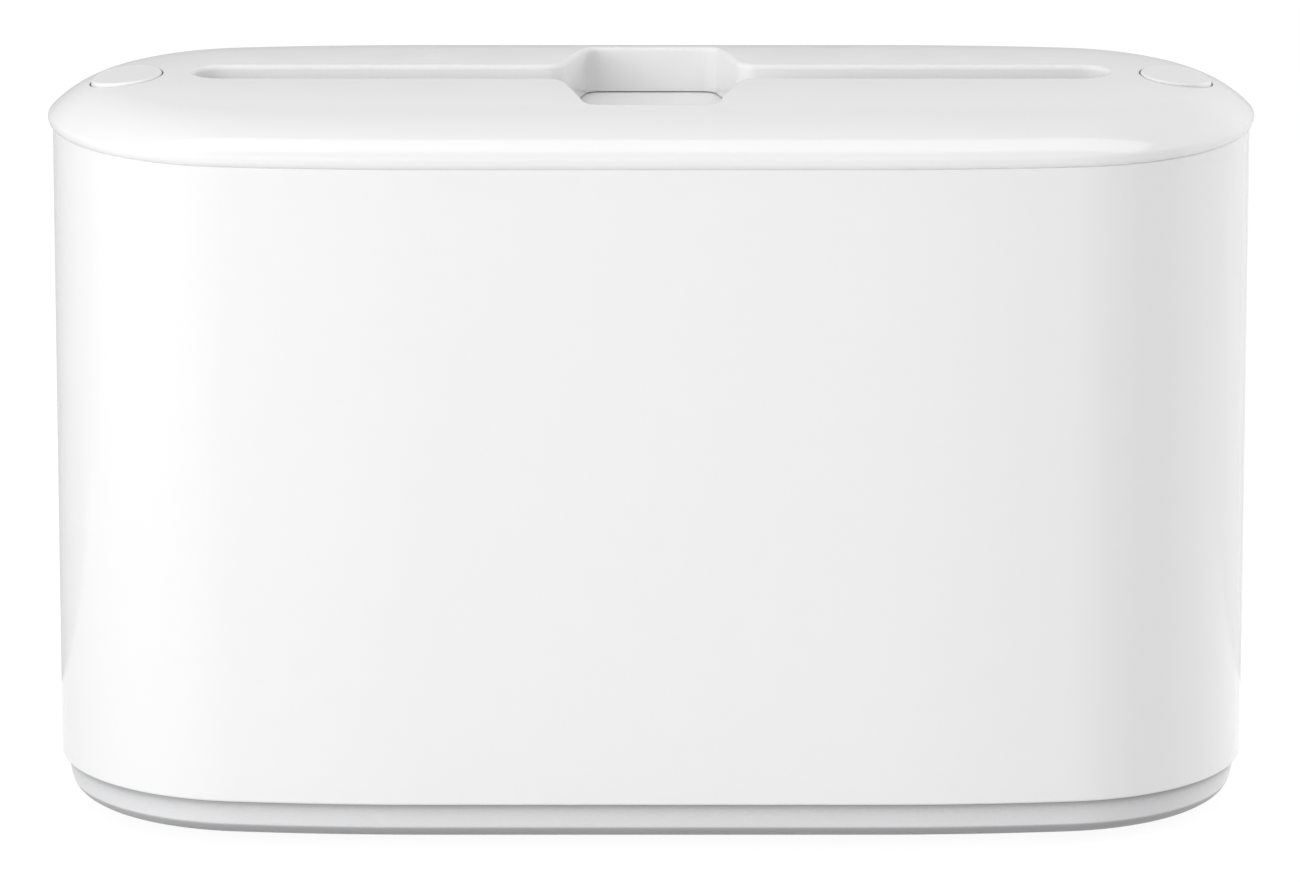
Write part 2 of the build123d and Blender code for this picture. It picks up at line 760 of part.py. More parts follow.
# Guide rails: lipped channels standing in the base, closed at the top where the ribbon is anchored
with BuildPart() as guide_rail:
    with BuildSketch(Plane.XY.offset(floor_top)):
        with Locations((rail_face, 0)):
            Rectangle(rail_back - rail_face, 2 * rail_half, align=(Align.MIN, Align.CENTER))
            Rectangle(
                rail_wall, 2 * slot_half, align=(Align.MIN, Align.CENTER), mode=Mode.SUBTRACT
            )
        with Locations((rail_face + rail_wall, 0)):
            Rectangle(
                web_face - rail_face - rail_wall,
                2 * channel_half,
                align=(Align.MIN, Align.CENTER),
                mode=Mode.SUBTRACT,
            )
    extrude(amount=rail_top - floor_top)
    with BuildSketch(Plane.XY.offset(rail_top - anchor_height)):
        with Locations((rail_face, 0)):
            Rectangle(web_face - rail_face, 2 * channel_half, align=(Align.MIN, Align.CENTER))
        with Locations((anchor_face, 0)):
            Rectangle(rail_wall, ribbon_width + 2 * ribbon_clearance, align=(Align.MIN, Align.CENTER))
    extrude(amount=anchor_height)
    with BuildSketch(Plane.XY.offset(floor_top + rail_pad)):
        with Locations((rail_back, 0)):
            Rectangle(rail_foot_length, 2 * brace_y, align=(Align.MIN, Align.CENTER))
        with Locations(*rail_screws_at[2:]):
            RegularPolygon(small_screw[0] + hole_clearance, small_sides, mode=Mode.SUBTRACT)
    extrude(amount=rail_foot_height)
    with BuildSketch(Plane.YZ.offset(anchor_face)):
        with Locations((0, anchor_z)):
            RegularPolygon(tiny_screw[0] + thread_clearance, small_sides, rotation=90)
    extrude(amount=tiny_screw_length, mode=Mode.SUBTRACT)
write_pair(guide_rail, "guide_rail")

with BuildPart() as rail_screws:
    with Locations(*[(x, y, rail_foot_top) for x, y in rail_screws_at]):
        add(screw(small_screw, small_screw_length))
write(rail_screws, "rail_screws")

with BuildPart() as ribbon_screws:
    with Locations(
        Location((-ribbon_x, 0, anchor_z), (0, 90, 0)), Location((ribbon_x, 0, anchor_z), (0, -90, 0))
    ):
        add(screw(tiny_screw, tiny_screw_length))
write(ribbon_screws, "ribbon_screws")

# Ribbon springs: the free strip up to its anchor, and the wound coil on its spool
with BuildPart() as ribbon_strip:
    with BuildSketch(Plane.YZ.offset(ribbon_x)):
        with Locations((0, coil_z)):
            Rectangle(ribbon_width, rail_top - coil_z, align=(Align.CENTER, Align.MIN))
        with Locations((0, anchor_z)):
            RegularPolygon(
                tiny_screw[0] + thread_clearance, small_sides, rotation=90, mode=Mode.SUBTRACT
            )
    extrude(amount=ribbon_thickness)
write_pair(ribbon_strip, "ribbon_strip")


def along_y(half_width):
    """Plane facing -Y at y = half_width with its origin on the spool's axis."""
    return Plane((coil_x, half_width, coil_z), x_dir=(1, 0, 0), z_dir=(0, -1, 0))


with BuildPart() as ribbon_coil:
    with BuildSketch(along_y(ribbon_width / 2)):
        RegularPolygon(coil_radius, coil_sides)
        RegularPolygon(drum_radius + pin_clearance, coil_sides, mode=Mode.SUBTRACT)
    extrude(amount=ribbon_width)
write_pair(ribbon_coil, "ribbon_coil")

drum_half = cheek_inner - spool_gap
with BuildPart() as spool:
    with BuildSketch(along_y(drum_half)):
        RegularPolygon(drum_radius, coil_sides)
    extrude(amount=2 * drum_half)
    with BuildSketch(along_y(cheek_inner)):
        Circle(spindle_radius + pin_clearance)
    extrude(amount=2 * cheek_inner, mode=Mode.SUBTRACT)
write_pair(spool, "ribbon_spool")

with BuildPart() as spindle:
    with BuildSketch(along_y(cheek_outer + pin_end)):
        Circle(spindle_radius)
    extrude(amount=2 * (cheek_outer + pin_end))
write_pair(spindle, "spool_spindle")

# Carriers: cheeks for the spindle that reach out into guide shoes on the rail
carrier_left_x = coil_x - coil_radius - coil_margin
carrier_right_x = platform_length / 2 - platform_rib_wall - hole_clearance
ear_top = platform_under - ear_drop
ear_x = carrier_left_x + ear_length / 2
ear_y = ear_reach - small_screw[1] - ear_margin
with BuildPart() as carrier:
    for side in (-1, 1):
        with BuildSketch(Plane((0, side * cheek_inner, 0), x_dir=(1, 0, 0), z_dir=(0, -1, 0))):
            with BuildLine():
                Polyline(
                    (carrier_left_x, carrier_under),
                    (carrier_right_x, carrier_under),
                    (carrier_right_x, shoe_top),
                    (shoe_face + shoe_head, shoe_top),
                    (shoe_face + shoe_head, shoe_bottom),
                    (carrier_right_x, shoe_bottom),
                    (coil_x, coil_z - drum_radius),
                    (carrier_left_x, ear_top - carrier_plate - ear_web),
                    close=True,
                )
            make_face()
            with Locations((coil_x, coil_z)):
                spindle_hole = around(spindle_radius + pin_clearance, small_sides)
                RegularPolygon(spindle_hole, small_sides, mode=Mode.SUBTRACT)
        extrude(amount=-side * cheek_wall)
        with BuildSketch(Plane.XY.offset(shoe_bottom)):
            with Locations((shoe_face, side * cheek_inner)):
                Rectangle(
                    shoe_head,
                    cheek_wall + shoe_wing,
                    align=(Align.MIN, Align.MIN if side > 0 else Align.MAX),
                )
        extrude(amount=shoe_length)
        with BuildSketch(Plane.XY.offset(ear_top - carrier_plate)):
            with Locations((carrier_left_x, side * cheek_inner)):
                Rectangle(
                    ear_length,
                    ear_reach - cheek_inner,
                    align=(Align.MIN, Align.MIN if side > 0 else Align.MAX),
                )
            with Locations((ear_x, side * ear_y)):
                RegularPolygon(small_screw[0] + hole_clearance, small_sides, mode=Mode.SUBTRACT)
        extrude(amount=carrier_plate)
    with BuildSketch(Plane.XY.offset(carrier_under)):
        with Locations((carrier_left_x, 0)):
            Rectangle(
                carrier_right_x - carrier_left_x, 2 * cheek_outer, align=(Align.MIN, Align.CENTER)
            )
    extrude(amount=carrier_plate)
write_pair(carrier, "platform_carrier")

# Lift platform: a flat tray top with a rim and ribs below, and bosses for the carriers' screws
carrier_screws_at = [(i * ear_x, j * ear_y) for i in (-1, 1) for j in (-1, 1)]
with BuildPart() as lift_platform:
    with BuildSketch(Plane.XY.offset(platform_under)):
        RectangleRounded(platform_length, platform_depth, platform_corner)
    extrude(amount=platform_plate)
    with BuildSketch(Plane.XY.offset(platform_under)):
        RectangleRounded(platform_length, platform_depth, platform_corner)
        RectangleRounded(
            platform_length - 2 * platform_rib_wall,
            platform_depth - 2 * platform_rib_wall,
            platform_corner - platform_rib_wall,
            mode=Mode.SUBTRACT,
        )
        with Locations((0, -platform_rib_spacing / 2), (0, platform_rib_spacing / 2)):
            Rectangle(platform_length - platform_rib_wall, platform_rib_wall)
        with Locations((-rib_pitch, 0), (0, 0), (rib_pitch, 0)):
            Rectangle(platform_rib_wall, platform_depth - platform_rib_wall)
    extrude(amount=-platform_rib)
    with BuildSketch(Plane.XY.offset(platform_under)):
        with Locations(*carrier_screws_at):
            RegularPolygon(boss_radius, small_sides)
    extrude(amount=-ear_drop)
    with BuildSketch(Plane.XY.offset(ear_top)):
        with Locations(*carrier_screws_at):
            RegularPolygon(small_screw[0] + thread_clearance, small_sides)
    extrude(amount=small_screw_length - carrier_plate + seat_gap, mode=Mode.SUBTRACT)
write(lift_platform, "lift_platform")

with BuildPart() as carrier_screws:
    with Locations(*[Location((x, y, ear_top - carrier_plate), (180, 0, 0)) for x, y in carrier_screws_at]):
        add(screw(small_screw, small_screw_length))
write(carrier_screws, "carrier_screws")
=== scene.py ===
"""Looks of a countertop paper towel dispenser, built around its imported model."""

import json
import logging
from collections.abc import Callable, Iterable, Sequence
from dataclasses import dataclass
from enum import Enum
from math import asin, atan2, ceil, copysign, cos, hypot, pi, radians, sin, sqrt, tan

import bmesh
import bpy
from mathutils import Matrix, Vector
from mathutils.geometry import delaunay_2d_cdt


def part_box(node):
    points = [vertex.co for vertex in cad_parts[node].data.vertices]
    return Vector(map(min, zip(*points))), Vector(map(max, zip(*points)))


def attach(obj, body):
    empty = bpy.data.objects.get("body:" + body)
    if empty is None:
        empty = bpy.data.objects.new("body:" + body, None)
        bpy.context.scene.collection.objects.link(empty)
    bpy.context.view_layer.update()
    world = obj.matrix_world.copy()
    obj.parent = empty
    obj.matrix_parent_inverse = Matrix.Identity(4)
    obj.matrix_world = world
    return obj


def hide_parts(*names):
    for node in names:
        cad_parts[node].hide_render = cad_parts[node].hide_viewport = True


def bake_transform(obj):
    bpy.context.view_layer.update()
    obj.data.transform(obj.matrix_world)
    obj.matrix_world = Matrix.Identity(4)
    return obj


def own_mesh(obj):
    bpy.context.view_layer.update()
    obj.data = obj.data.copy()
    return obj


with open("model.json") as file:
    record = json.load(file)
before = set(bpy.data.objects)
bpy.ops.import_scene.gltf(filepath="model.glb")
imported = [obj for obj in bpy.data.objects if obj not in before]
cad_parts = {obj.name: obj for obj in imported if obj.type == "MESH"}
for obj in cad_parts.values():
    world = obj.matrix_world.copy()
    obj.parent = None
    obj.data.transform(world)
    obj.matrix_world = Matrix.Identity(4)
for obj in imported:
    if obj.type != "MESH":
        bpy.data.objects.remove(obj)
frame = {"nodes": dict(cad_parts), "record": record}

LOG = logging.getLogger("dispenser")
MM = 0.001
# A step longer than any straight run, which leaves the run whole.
WHOLE_RUN = 500.0
# Rounds whose ends lie closer than this share a station.
MEETING = 0.01
# Signs of x and y in the four corners.
QUADRANTS = ((-1, -1), (-1, 1), (1, -1), (1, 1))

Point = tuple[float, float, float]
Flat = tuple[float, float]
Surface = Callable[[float, float], tuple[float, Point]]


def box_mm(node: str) -> tuple[Vector, Vector]:
    """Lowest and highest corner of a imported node, in millimetres."""
    low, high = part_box(node)
    return low / MM, high / MM


def sweep(start: float, stop: float, count: int, closed: bool = False) -> list[float]:
    """Evenly spread values from start up to stop, which is among them when closed."""
    return [start + (stop - start) * i / count for i in range(count + closed)]


def quarter(count: int) -> list[Flat]:
    """Cosine and sine of evenly spread turns from 0 to a right angle."""
    return [(cos(pi / 2 * i / count), sin(pi / 2 * i / count)) for i in range(count + 1)]


def linked(name: str, data: bpy.types.ID) -> bpy.types.Object:
    """A new object in the scene.

    Args:
        name: Its name.
        data: Its mesh, lamp or camera.

    Returns:
        The object.
    """
    made = bpy.data.objects.new(name, data)
    bpy.context.scene.collection.objects.link(made)
    return made


class Side(Enum):
    """The two ends of the dispenser."""

    LEFT = -1
    RIGHT = 1

    @property
    def label(self) -> str:
        """The word that ends the names of this side's pieces."""
        return self.name.lower()


@dataclass(frozen=True)
class Station:
    """A point of an outline seen from above, with the direction that leads out of it."""

    x: float
    y: float
    nx: float
    ny: float

    def at(self, offset: float) -> Flat:
        """The point that lies offset outside this one."""
        return (self.x + self.nx * offset, self.y + self.ny * offset)

    def turned(self) -> "Station":
        """The station opposite this one through the origin."""
        return Station(-self.x, -self.y, -self.nx, -self.ny)


def arc(x: float, y: float, radius: float, start: float, stop: float, steps: int) -> list[Station]:
    """Stations of an arc about x and y, without its last."""
    turns = sweep(start, stop, steps)
    return [Station(x + radius * cos(t), y + radius * sin(t), cos(t), sin(t)) for t in turns]


def circle(x: float, y: float, radius: float, steps: int = 24) -> list[Station]:
    """Stations of a circle, or of a regular polygon with few steps."""
    return arc(x, y, radius, 0, 2 * pi, steps)


@dataclass(frozen=True)
class PillPlan:
    """Plan of the dispenser: round ends, slightly bowed flanks and a straight middle."""

    half_length: float
    half_depth: float
    bow_radius: float = 445.8
    end_angle: float = radians(83.1)
    end_steps: int = 72
    bow_steps: int = 8
    side_steps: int = 12

    @property
    def end_radius(self) -> float:
        """Radius of the round ends."""
        return (self.half_depth - self.bow_radius * (1 - sin(self.end_angle))) / sin(self.end_angle)

    @property
    def end_x(self) -> float:
        """Centre of the right-hand round end."""
        return self.half_length - self.end_radius

    @property
    def bow_x(self) -> float:
        """Where the straight middle ends, and the centre of the bow beside it."""
        return self.end_x - (self.bow_radius - self.end_radius) * cos(self.end_angle)

    @property
    def bow_y(self) -> float:
        """Depth at which the bow of the far flank has its centre."""
        return -(self.bow_radius - self.end_radius) * sin(self.end_angle)

    def stations(self) -> list[Station]:
        """The outline, anticlockwise from the front of the right-hand end."""
        beta = self.end_angle
        half = arc(self.end_x, 0, self.end_radius, -beta, beta, self.end_steps)
        half += arc(self.bow_x, self.bow_y, self.bow_radius, beta, pi / 2, self.bow_steps)
        for i in range(self.side_steps):
            half.append(Station(self.bow_x * (1 - 2 * i / self.side_steps), self.half_depth, 0, 1))
        half += arc(-self.bow_x, self.bow_y, self.bow_radius, pi / 2, pi - beta, self.bow_steps)
        return half + [s.turned() for s in half]

    def inset(self, x: float, y: float) -> Point:
        """How far a point lies inside the outline.

        Args:
            x: Place along the body.
            y: Place across the body.

        Returns:
            The inset, and the direction that leads straight out.
        """
        u, v = abs(x), abs(y)
        if u <= self.bow_x:
            return self.half_depth - v, 0.0, copysign(1.0, y)
        centre_x, centre_y, radius = self.bow_x, self.bow_y, self.bow_radius
        if atan2(v - centre_y, u - centre_x) < self.end_angle:
            centre_x, centre_y, radius = self.end_x, 0.0, self.end_radius
        out_x, out_y = u - centre_x, v - centre_y
        reach = hypot(out_x, out_y)
        return radius - reach, copysign(1.0, x) * out_x / reach, copysign(1.0, y) * out_y / reach

    def side_y(self, x: float, inset: float) -> float:
        """Distance from the long axis to the outline drawn in by inset.

        Args:
            x: Place along the body.
            inset: How far the outline is drawn in.

        Returns:
            The distance.
        """
        u = abs(x)
        if u <= self.bow_x:
            return self.half_depth - inset
        bow = sqrt((self.bow_radius - inset) ** 2 - (u - self.bow_x) ** 2) + self.bow_y
        if atan2(bow - self.bow_y, u - self.bow_x) >= self.end_angle:
            return bow
        return sqrt(max(0.0, (self.end_radius - inset) ** 2 - (u - self.end_x) ** 2))

    def end_reach(self, y: float, inset: float) -> float:
        """Distance from the middle to the round end drawn in by inset, at y."""
        return self.end_x + sqrt((self.end_radius - inset) ** 2 - y**2)


def corner_arc(before: Flat, here: Flat, after: Flat, radius: float, turn_step: float) -> list[Station]:
    """Stations of one round corner.

    Args:
        before: The corner ahead of it.
        here: The sharp corner that is rounded.
        after: The corner that follows.
        radius: Radius of the round.
        turn_step: Largest turn between stations.

    Returns:
        The stations, with directions that lead right of the way the line is drawn.
    """
    corner = Vector(here)
    back = (Vector(before) - corner).normalized()
    ahead = (Vector(after) - corner).normalized()
    half_angle = back.angle(ahead) / 2
    spin = 1 if back.y * ahead.x - back.x * ahead.y > 0 else -1
    centre = corner + (back + ahead).normalized() * (radius / sin(half_angle))
    first = corner + back * (radius / tan(half_angle)) - centre
    turn = pi - 2 * half_angle
    steps = max(2, ceil(turn / turn_step))
    start = atan2(first.y, first.x)
    found = []
    for k in range(steps + 1):
        c, s = cos(start + spin * turn * k / steps), sin(start + spin * turn * k / steps)
        found.append(Station(centre.x + radius * c, centre.y + radius * s, spin * c, spin * s))
    return found


def rounded(corners: Sequence[Point], step: float = 9.0, turn_step: float = radians(9)) -> list[Station]:
    """Stations of a closed outline with straight runs and round corners.

    Args:
        corners: Anticlockwise corners, each as x, y and the radius of its round.
        step: Longest stretch between stations on a straight run.
        turn_step: Largest turn between stations on a round.

    Returns:
        The stations in order.
    """
    count = len(corners)
    arcs = []
    for i, (x, y, radius) in enumerate(corners):
        arcs.append(corner_arc(corners[i - 1][:2], (x, y), corners[(i + 1) % count][:2], radius, turn_step))
    found: list[Station] = []
    for i, arc in enumerate(arcs):
        found += arc
        last, following = arc[-1], arcs[(i + 1) % count][0]
        run = Vector((following.x - last.x, following.y - last.y))
        if run.length < MEETING:
            found.pop()
            continue
        pieces = ceil(run.length / step)
        for k in range(1, pieces):
            at = run * (k / pieces)
            found.append(Station(last.x + at.x, last.y + at.y, last.nx, last.ny))
    return found


def section(corners: Sequence[Point], turn_step: float = radians(15)) -> list[Station]:
    """Stations of an open section with round corners.

    Args:
        corners: Corners as offset, height and the radius of the round, which the two ends don't have.
        turn_step: Largest turn between stations on a round.

    Returns:
        The stations, facing right of the way the section is drawn.
    """
    spots = [Vector(c[:2]) for c in corners]

    def end(spot: Vector, run: Vector) -> Station:
        """The station at one end, square to its run."""
        out = Vector((run.y, -run.x)).normalized()
        return Station(spot.x, spot.y, out.x, out.y)

    found = [end(spots[0], spots[1] - spots[0])]
    for i in range(1, len(corners) - 1):
        found += corner_arc(spots[i - 1], spots[i], spots[i + 1], corners[i][2], turn_step)
    return [*found, end(spots[-1], spots[-1] - spots[-2])]


def rectangle(low: Sequence[float], high: Sequence[float], corner: float, step: float) -> list[Station]:
    """Stations of a rectangle from its low to its high corner, with its corners a little rounded."""
    spots = [(low[0], low[1]), (high[0], low[1]), (high[0], high[1]), (low[0], high[1])]
    return rounded([(*spot, corner) for spot in spots], step, radians(45))


def inside(point: Flat, outline: Sequence[Flat]) -> bool:
    """Whether a flat point lies inside a closed outline.

    Args:
        point: The point.
        outline: The points of the outline in order.

    Returns:
        True where it does.
    """
    x, y = point
    found = False
    ax, ay = outline[-1]
    for bx, by in outline:
        if (ay > y) != (by > y) and x < ax + (bx - ax) * (y - ay) / (by - ay):
            found = not found
        ax, ay = bx, by
    return found


class Skin:
    """Points and faces of one mesh, gathered in millimetres."""

    def __init__(self) -> None:
        """Starts with nothing."""
        self.points: list[Point] = []
        self.faces: list[tuple[int, ...]] = []
        self.normals: dict[int, Point] = {}

    def ring(self, points: Iterable[Point], normals: Iterable[Point] | None = None) -> list[int]:
        """Adds a closed row of points.

        Args:
            points: The points in order.
            normals: The surface's exact direction at each, where it is known.

        Returns:
            Their numbers.
        """
        first = len(self.points)
        self.points += points
        ids = list(range(first, len(self.points)))
        if normals is not None:
            self.normals.update(zip(ids, normals))
        return ids

    def level(
        self, stations: Sequence[Station], offset: float, height: float, facing: Flat | None = None
    ) -> list[int]:
        """Adds an outline moved out by offset, at one height.

        Args:
            stations: The outline.
            offset: How far out of the outline the row lies.
            height: Its height.
            facing: How far the surface faces out and up there, where it is known.

        Returns:
            The numbers of the points.
        """
        points = [(*s.at(offset), height) for s in stations]
        if facing is None:
            return self.ring(points)
        return self.ring(points, [(s.nx * facing[0], s.ny * facing[0], facing[1]) for s in stations])

    def bridge(self, one: Sequence[int], other: Sequence[int]) -> None:
        """Joins two rows of the same length with a band of faces.

        Args:
            one: Numbers of the points of the first row.
            other: Numbers of those of the second.
        """
        count = len(one)
        for i in range(count):
            j = (i + 1) % count
            self.faces.append((one[i], one[j], other[j], other[i]))

    def stack(self, rows: Sequence[Sequence[int]]) -> None:
        """Joins each row to the next."""
        for one, other in zip(rows, rows[1:]):
            self.bridge(one, other)

    def loft(
        self, stations: Sequence[Station], profile: Sequence[Station], close: bool = False
    ) -> list[list[int]]:
        """Carries a section round an outline.

        Args:
            stations: The outline.
            profile: The section, as offset out of the outline and height.
            close: Whether the section's last point joins its first.

        Returns:
            The rows of points, one for each point of the section.
        """
        rows = [self.level(stations, p.x, p.y, (p.nx, p.ny)) for p in profile]
        self.stack(rows)
        if close:
            self.bridge(rows[-1], rows[0])
        return rows

    def roll(self, outline: Sequence[Station], radius: float, way: int, surface: Surface) -> list[list[int]]:
        """Adds the rows of a rolled edge, from a surface to upright.

        Args:
            outline: Where the edge has turned upright.
            radius: Radius of the roll.
            way: 1 round an opening in the surface and -1 round a piece that it covers.
            surface: The surface.

        Returns:
            The rows of points.
        """
        rows = []
        for c, s in quarter(6):
            points, normals = [], []
            for station in outline:
                x, y = station.at(way * radius * (1 - s))
                height, up = surface(x, y)
                points.append((x, y, height - radius * (1 - c)))
                out = way * s
                facing = Vector((up[0] * c - station.nx * out, up[1] * c - station.ny * out, up[2] * c))
                normals.append(tuple(facing.normalized()))
            rows.append(self.ring(points, normals))
        return rows

    def patch(
        self,
        edge: Sequence[int],
        holes: Sequence[Sequence[int]] = (),
        extra: Sequence[Flat] = (),
        lift: Surface | None = None,
    ) -> None:
        """Fills an outline with triangles, round its holes.

        Args:
            edge: Row of points round the outside.
            holes: Rows of points round the holes.
            extra: More points between them, as seen from above.
            lift: Gives height and direction of the surface at an extra point.
        """
        ids = list(edge)
        links: list[tuple[int, int]] = []
        for row in (edge, *holes):
            start = 0 if row is edge else len(ids)
            if row is not edge:
                ids += row
            links += [(start + i, start + (i + 1) % len(row)) for i in range(len(row))]
        for x, y in extra:
            height, normal = lift(x, y)
            ids += self.ring([(x, y, height)], [normal])
        flat = [Vector(self.points[i][:2]) for i in ids]
        spots, _, triangles, origin, _, _ = delaunay_2d_cdt(flat, links, [], 0, 1e-7)
        outer = [self.points[i][:2] for i in edge]
        gaps = [[self.points[i][:2] for i in row] for row in holes]
        for triangle in triangles:
            middle = sum((spots[i] for i in triangle), Vector((0, 0))) / 3
            if inside(middle, outer) and not any(inside(middle, gap) for gap in gaps):
                self.faces.append(tuple(ids[origin[i][0]] for i in triangle))

    def bar(self, one: Sequence[Point], other: Sequence[Point]) -> None:
        """Adds a closed bar between two outlines.

        Args:
            one: Points of the first outline.
            other: As many points of the second.
        """
        foot, head = self.ring(one), self.ring(other)
        self.bridge(foot, head)
        self.faces += [tuple(foot), tuple(head)]

    def post(self, outline: Sequence[Flat], low: float, high: float) -> None:
        """Adds a closed upright bar over an outline."""
        self.bar([(x, y, low) for x, y in outline], [(x, y, high) for x, y in outline])

    def pin(self, x: float, y: float, radius: float, low: float, high: float) -> None:
        """Adds a closed round post."""
        self.post([s.at(0) for s in circle(x, y, radius)], low, high)

    def block(self, low: Point, high: Point, edge: float = 0.25) -> None:
        """Adds a closed block whose upright edges have a round of radius edge."""
        self.post([s.at(0) for s in rectangle(low, high, edge, WHOLE_RUN)], low[2], high[2])

    def build(self, name: str, sharp: float = 35.0) -> bpy.types.Object:
        """Makes the Blender object.

        Args:
            name: Name of the piece.
            sharp: Angle in degrees over which an edge is drawn sharp.

        Returns:
            The object, with its mesh in metres.
        """
        mesh = bpy.data.meshes.new(name)
        shape = bmesh.new()
        corners = [shape.verts.new(Vector(p) * MM) for p in self.points]
        for face in self.faces:
            shape.faces.new([corners[i] for i in face])
        bmesh.ops.recalc_face_normals(shape, faces=shape.faces)
        for face in shape.faces:
            face.smooth = True
        shape.to_mesh(mesh)
        shape.free()
        mesh.set_sharp_from_angle(angle=radians(sharp))
        if self.normals:
            blank = (0.0, 0.0, 0.0)
            exact = [self.normals.get(i, blank) for i in range(len(self.points))]
            mesh.normals_split_custom_set_from_vertices(exact)
        return linked(name, mesh)


@dataclass(frozen=True)
class Dome:
    """Surface of the lid: a small rim, a round shoulder and a shallow crown, by inset from its edge."""

    plan: PillPlan
    widest: float
    lip_radius: float = 3.1
    lip_drop: float = 2.5
    lip_start: float = 0.93
    lip_steps: int = 7
    rim_radius: float = 1.3
    rim_steps: int = 9
    shoulder_radius: float = 29.0
    shoulder_lean: float = radians(46.3)
    shoulder_steps: int = 12
    under_steps: int = 8
    crown_radius: float = 166.0
    crown_lean: float = radians(8.4)
    seam_edge: float = 0.3
    seam_step: float = 0.2

    @property
    def shoulder_centre(self) -> Flat:
        """Inset and height of the shoulder's centre."""
        gap = self.shoulder_radius - self.rim_radius
        return (
            self.rim_radius + gap * sin(self.shoulder_lean),
            self.widest - gap * cos(self.shoulder_lean),
        )

    @property
    def crown_centre(self) -> Flat:
        """Inset and height of the crown's centre. Further in than this, the top is flat."""
        gap = self.crown_radius - self.shoulder_radius
        x, z = self.shoulder_centre
        return (x + gap * sin(self.crown_lean), z - gap * cos(self.crown_lean))

    def over(self, inset: float, skin: float = 0.0) -> tuple[float, float]:
        """Height of the surface, or of one that lies skin under it.

        Args:
            inset: Distance in from the lid's edge.
            skin: Depth under the surface.

        Returns:
            The height, and how far the normal leans out.
        """
        for centre, radius, lean in (
            (self.crown_centre, self.crown_radius, self.crown_lean),
            (self.shoulder_centre, self.shoulder_radius, self.shoulder_lean),
        ):
            if inset >= centre[0]:
                return centre[1] + radius - skin, 0.0
            found = asin(min(1.0, (centre[0] - inset) / (radius - skin)))
            if found <= lean:
                return centre[1] + (radius - skin) * cos(found), found
        found = asin(max(0.0, min(1.0, (self.rim_radius - inset) / self.rim_radius)))
        return self.widest + self.rim_radius * cos(found), found

    def lift(self, skin: float = 0.0) -> Surface:
        """Gives the surface's height and direction over a point of the plan.

        Args:
            skin: Depth under the outside. Over 0 it is the inside, which faces down.

        Returns:
            The function of x and y that does so.
        """

        def above(x: float, y: float) -> tuple[float, Point]:
            """Height and direction over one point."""
            inset, nx, ny = self.plan.inset(x, y)
            height, lean = self.over(inset, skin)
            way = -1 if skin else 1
            return height, (way * nx * sin(lean), way * ny * sin(lean), way * cos(lean))

        return above

    def outer_rows(self, inner: float) -> list[Station]:
        """Section of the lid's outside from the seam up to the part that holds the openings.

        Args:
            inner: Inset at which the rows end.

        Returns:
            The section, as offset from the lid's edge and height.
        """
        seam = self.widest - self.lip_drop
        lip_turn = asin(self.lip_drop / self.lip_radius)
        rows = [Station(-self.lip_radius * (1 - cos(lip_turn)) - self.seam_step, seam, 0, -1)]
        for i in range(self.lip_steps):
            turn = lip_turn * (self.lip_start - i / self.lip_steps)
            offset = -self.lip_radius * (1 - cos(turn))
            rows.append(Station(offset, self.widest - self.lip_radius * sin(turn), cos(turn), -sin(turn)))
        for lean in sweep(pi / 2, self.shoulder_lean, self.rim_steps):
            rows.append(self.facing((self.rim_radius, self.widest), self.rim_radius, lean))
        last = asin((self.shoulder_centre[0] - inner) / self.shoulder_radius)
        for lean in sweep(self.shoulder_lean, last, self.shoulder_steps, closed=True):
            rows.append(self.facing(self.shoulder_centre, self.shoulder_radius, lean))
        return rows

    def inner_rows(self, skin: float, inner: float) -> list[Station]:
        """Section of the lid's inside from the openings down to the seam.

        Args:
            skin: Depth under the outside.
            inner: Inset at which the rows start.

        Returns:
            The section, facing in and down.
        """
        seam = self.widest - self.lip_drop
        radius = self.shoulder_radius - skin
        first = asin((self.shoulder_centre[0] - inner) / radius)
        last = asin((self.shoulder_centre[0] - skin) / radius)
        rows = []
        for lean in sweep(first, last, self.under_steps, closed=True):
            at = self.facing(self.shoulder_centre, radius, lean)
            rows.append(Station(at.x, at.y, -at.nx, -at.ny))
        edge = self.seam_edge
        return rows + [Station(-skin, seam + edge, -1, 0), Station(edge - skin, seam, 0, -1)]

    def facing(self, centre: Flat, radius: float, lean: float) -> Station:
        """Point of an arc where its surface leans out by lean, as offset and height."""
        return Station(radius * sin(lean) - centre[0], centre[1] + radius * cos(lean), sin(lean), cos(lean))


def oval(x: float, length: float, depth: float, flat_radius: float, steps: int = 20) -> list[Station]:
    """Stations of an oval made of two flatter and two rounder arcs.

    Args:
        x: Where its middle is along the body.
        length: Its size along the body.
        depth: Its size across the body.
        flat_radius: Radius of the arcs at its ends in X.
        steps: Stations on each arc.

    Returns:
        The stations, anticlockwise.
    """
    offset = flat_radius - length / 2
    tip_radius = (flat_radius**2 - (depth / 2) ** 2 - offset**2) / (2 * flat_radius - depth)
    tip_y = depth / 2 - tip_radius
    turn = atan2(tip_y, offset)
    return [
        *arc(x - offset, 0.0, flat_radius, -turn, turn, steps),
        *arc(x, tip_y, tip_radius, turn, pi - turn, steps),
        *arc(x + offset, 0.0, flat_radius, pi - turn, pi + turn, steps),
        *arc(x, -tip_y, tip_radius, pi + turn, 2 * pi - turn, steps),
    ]


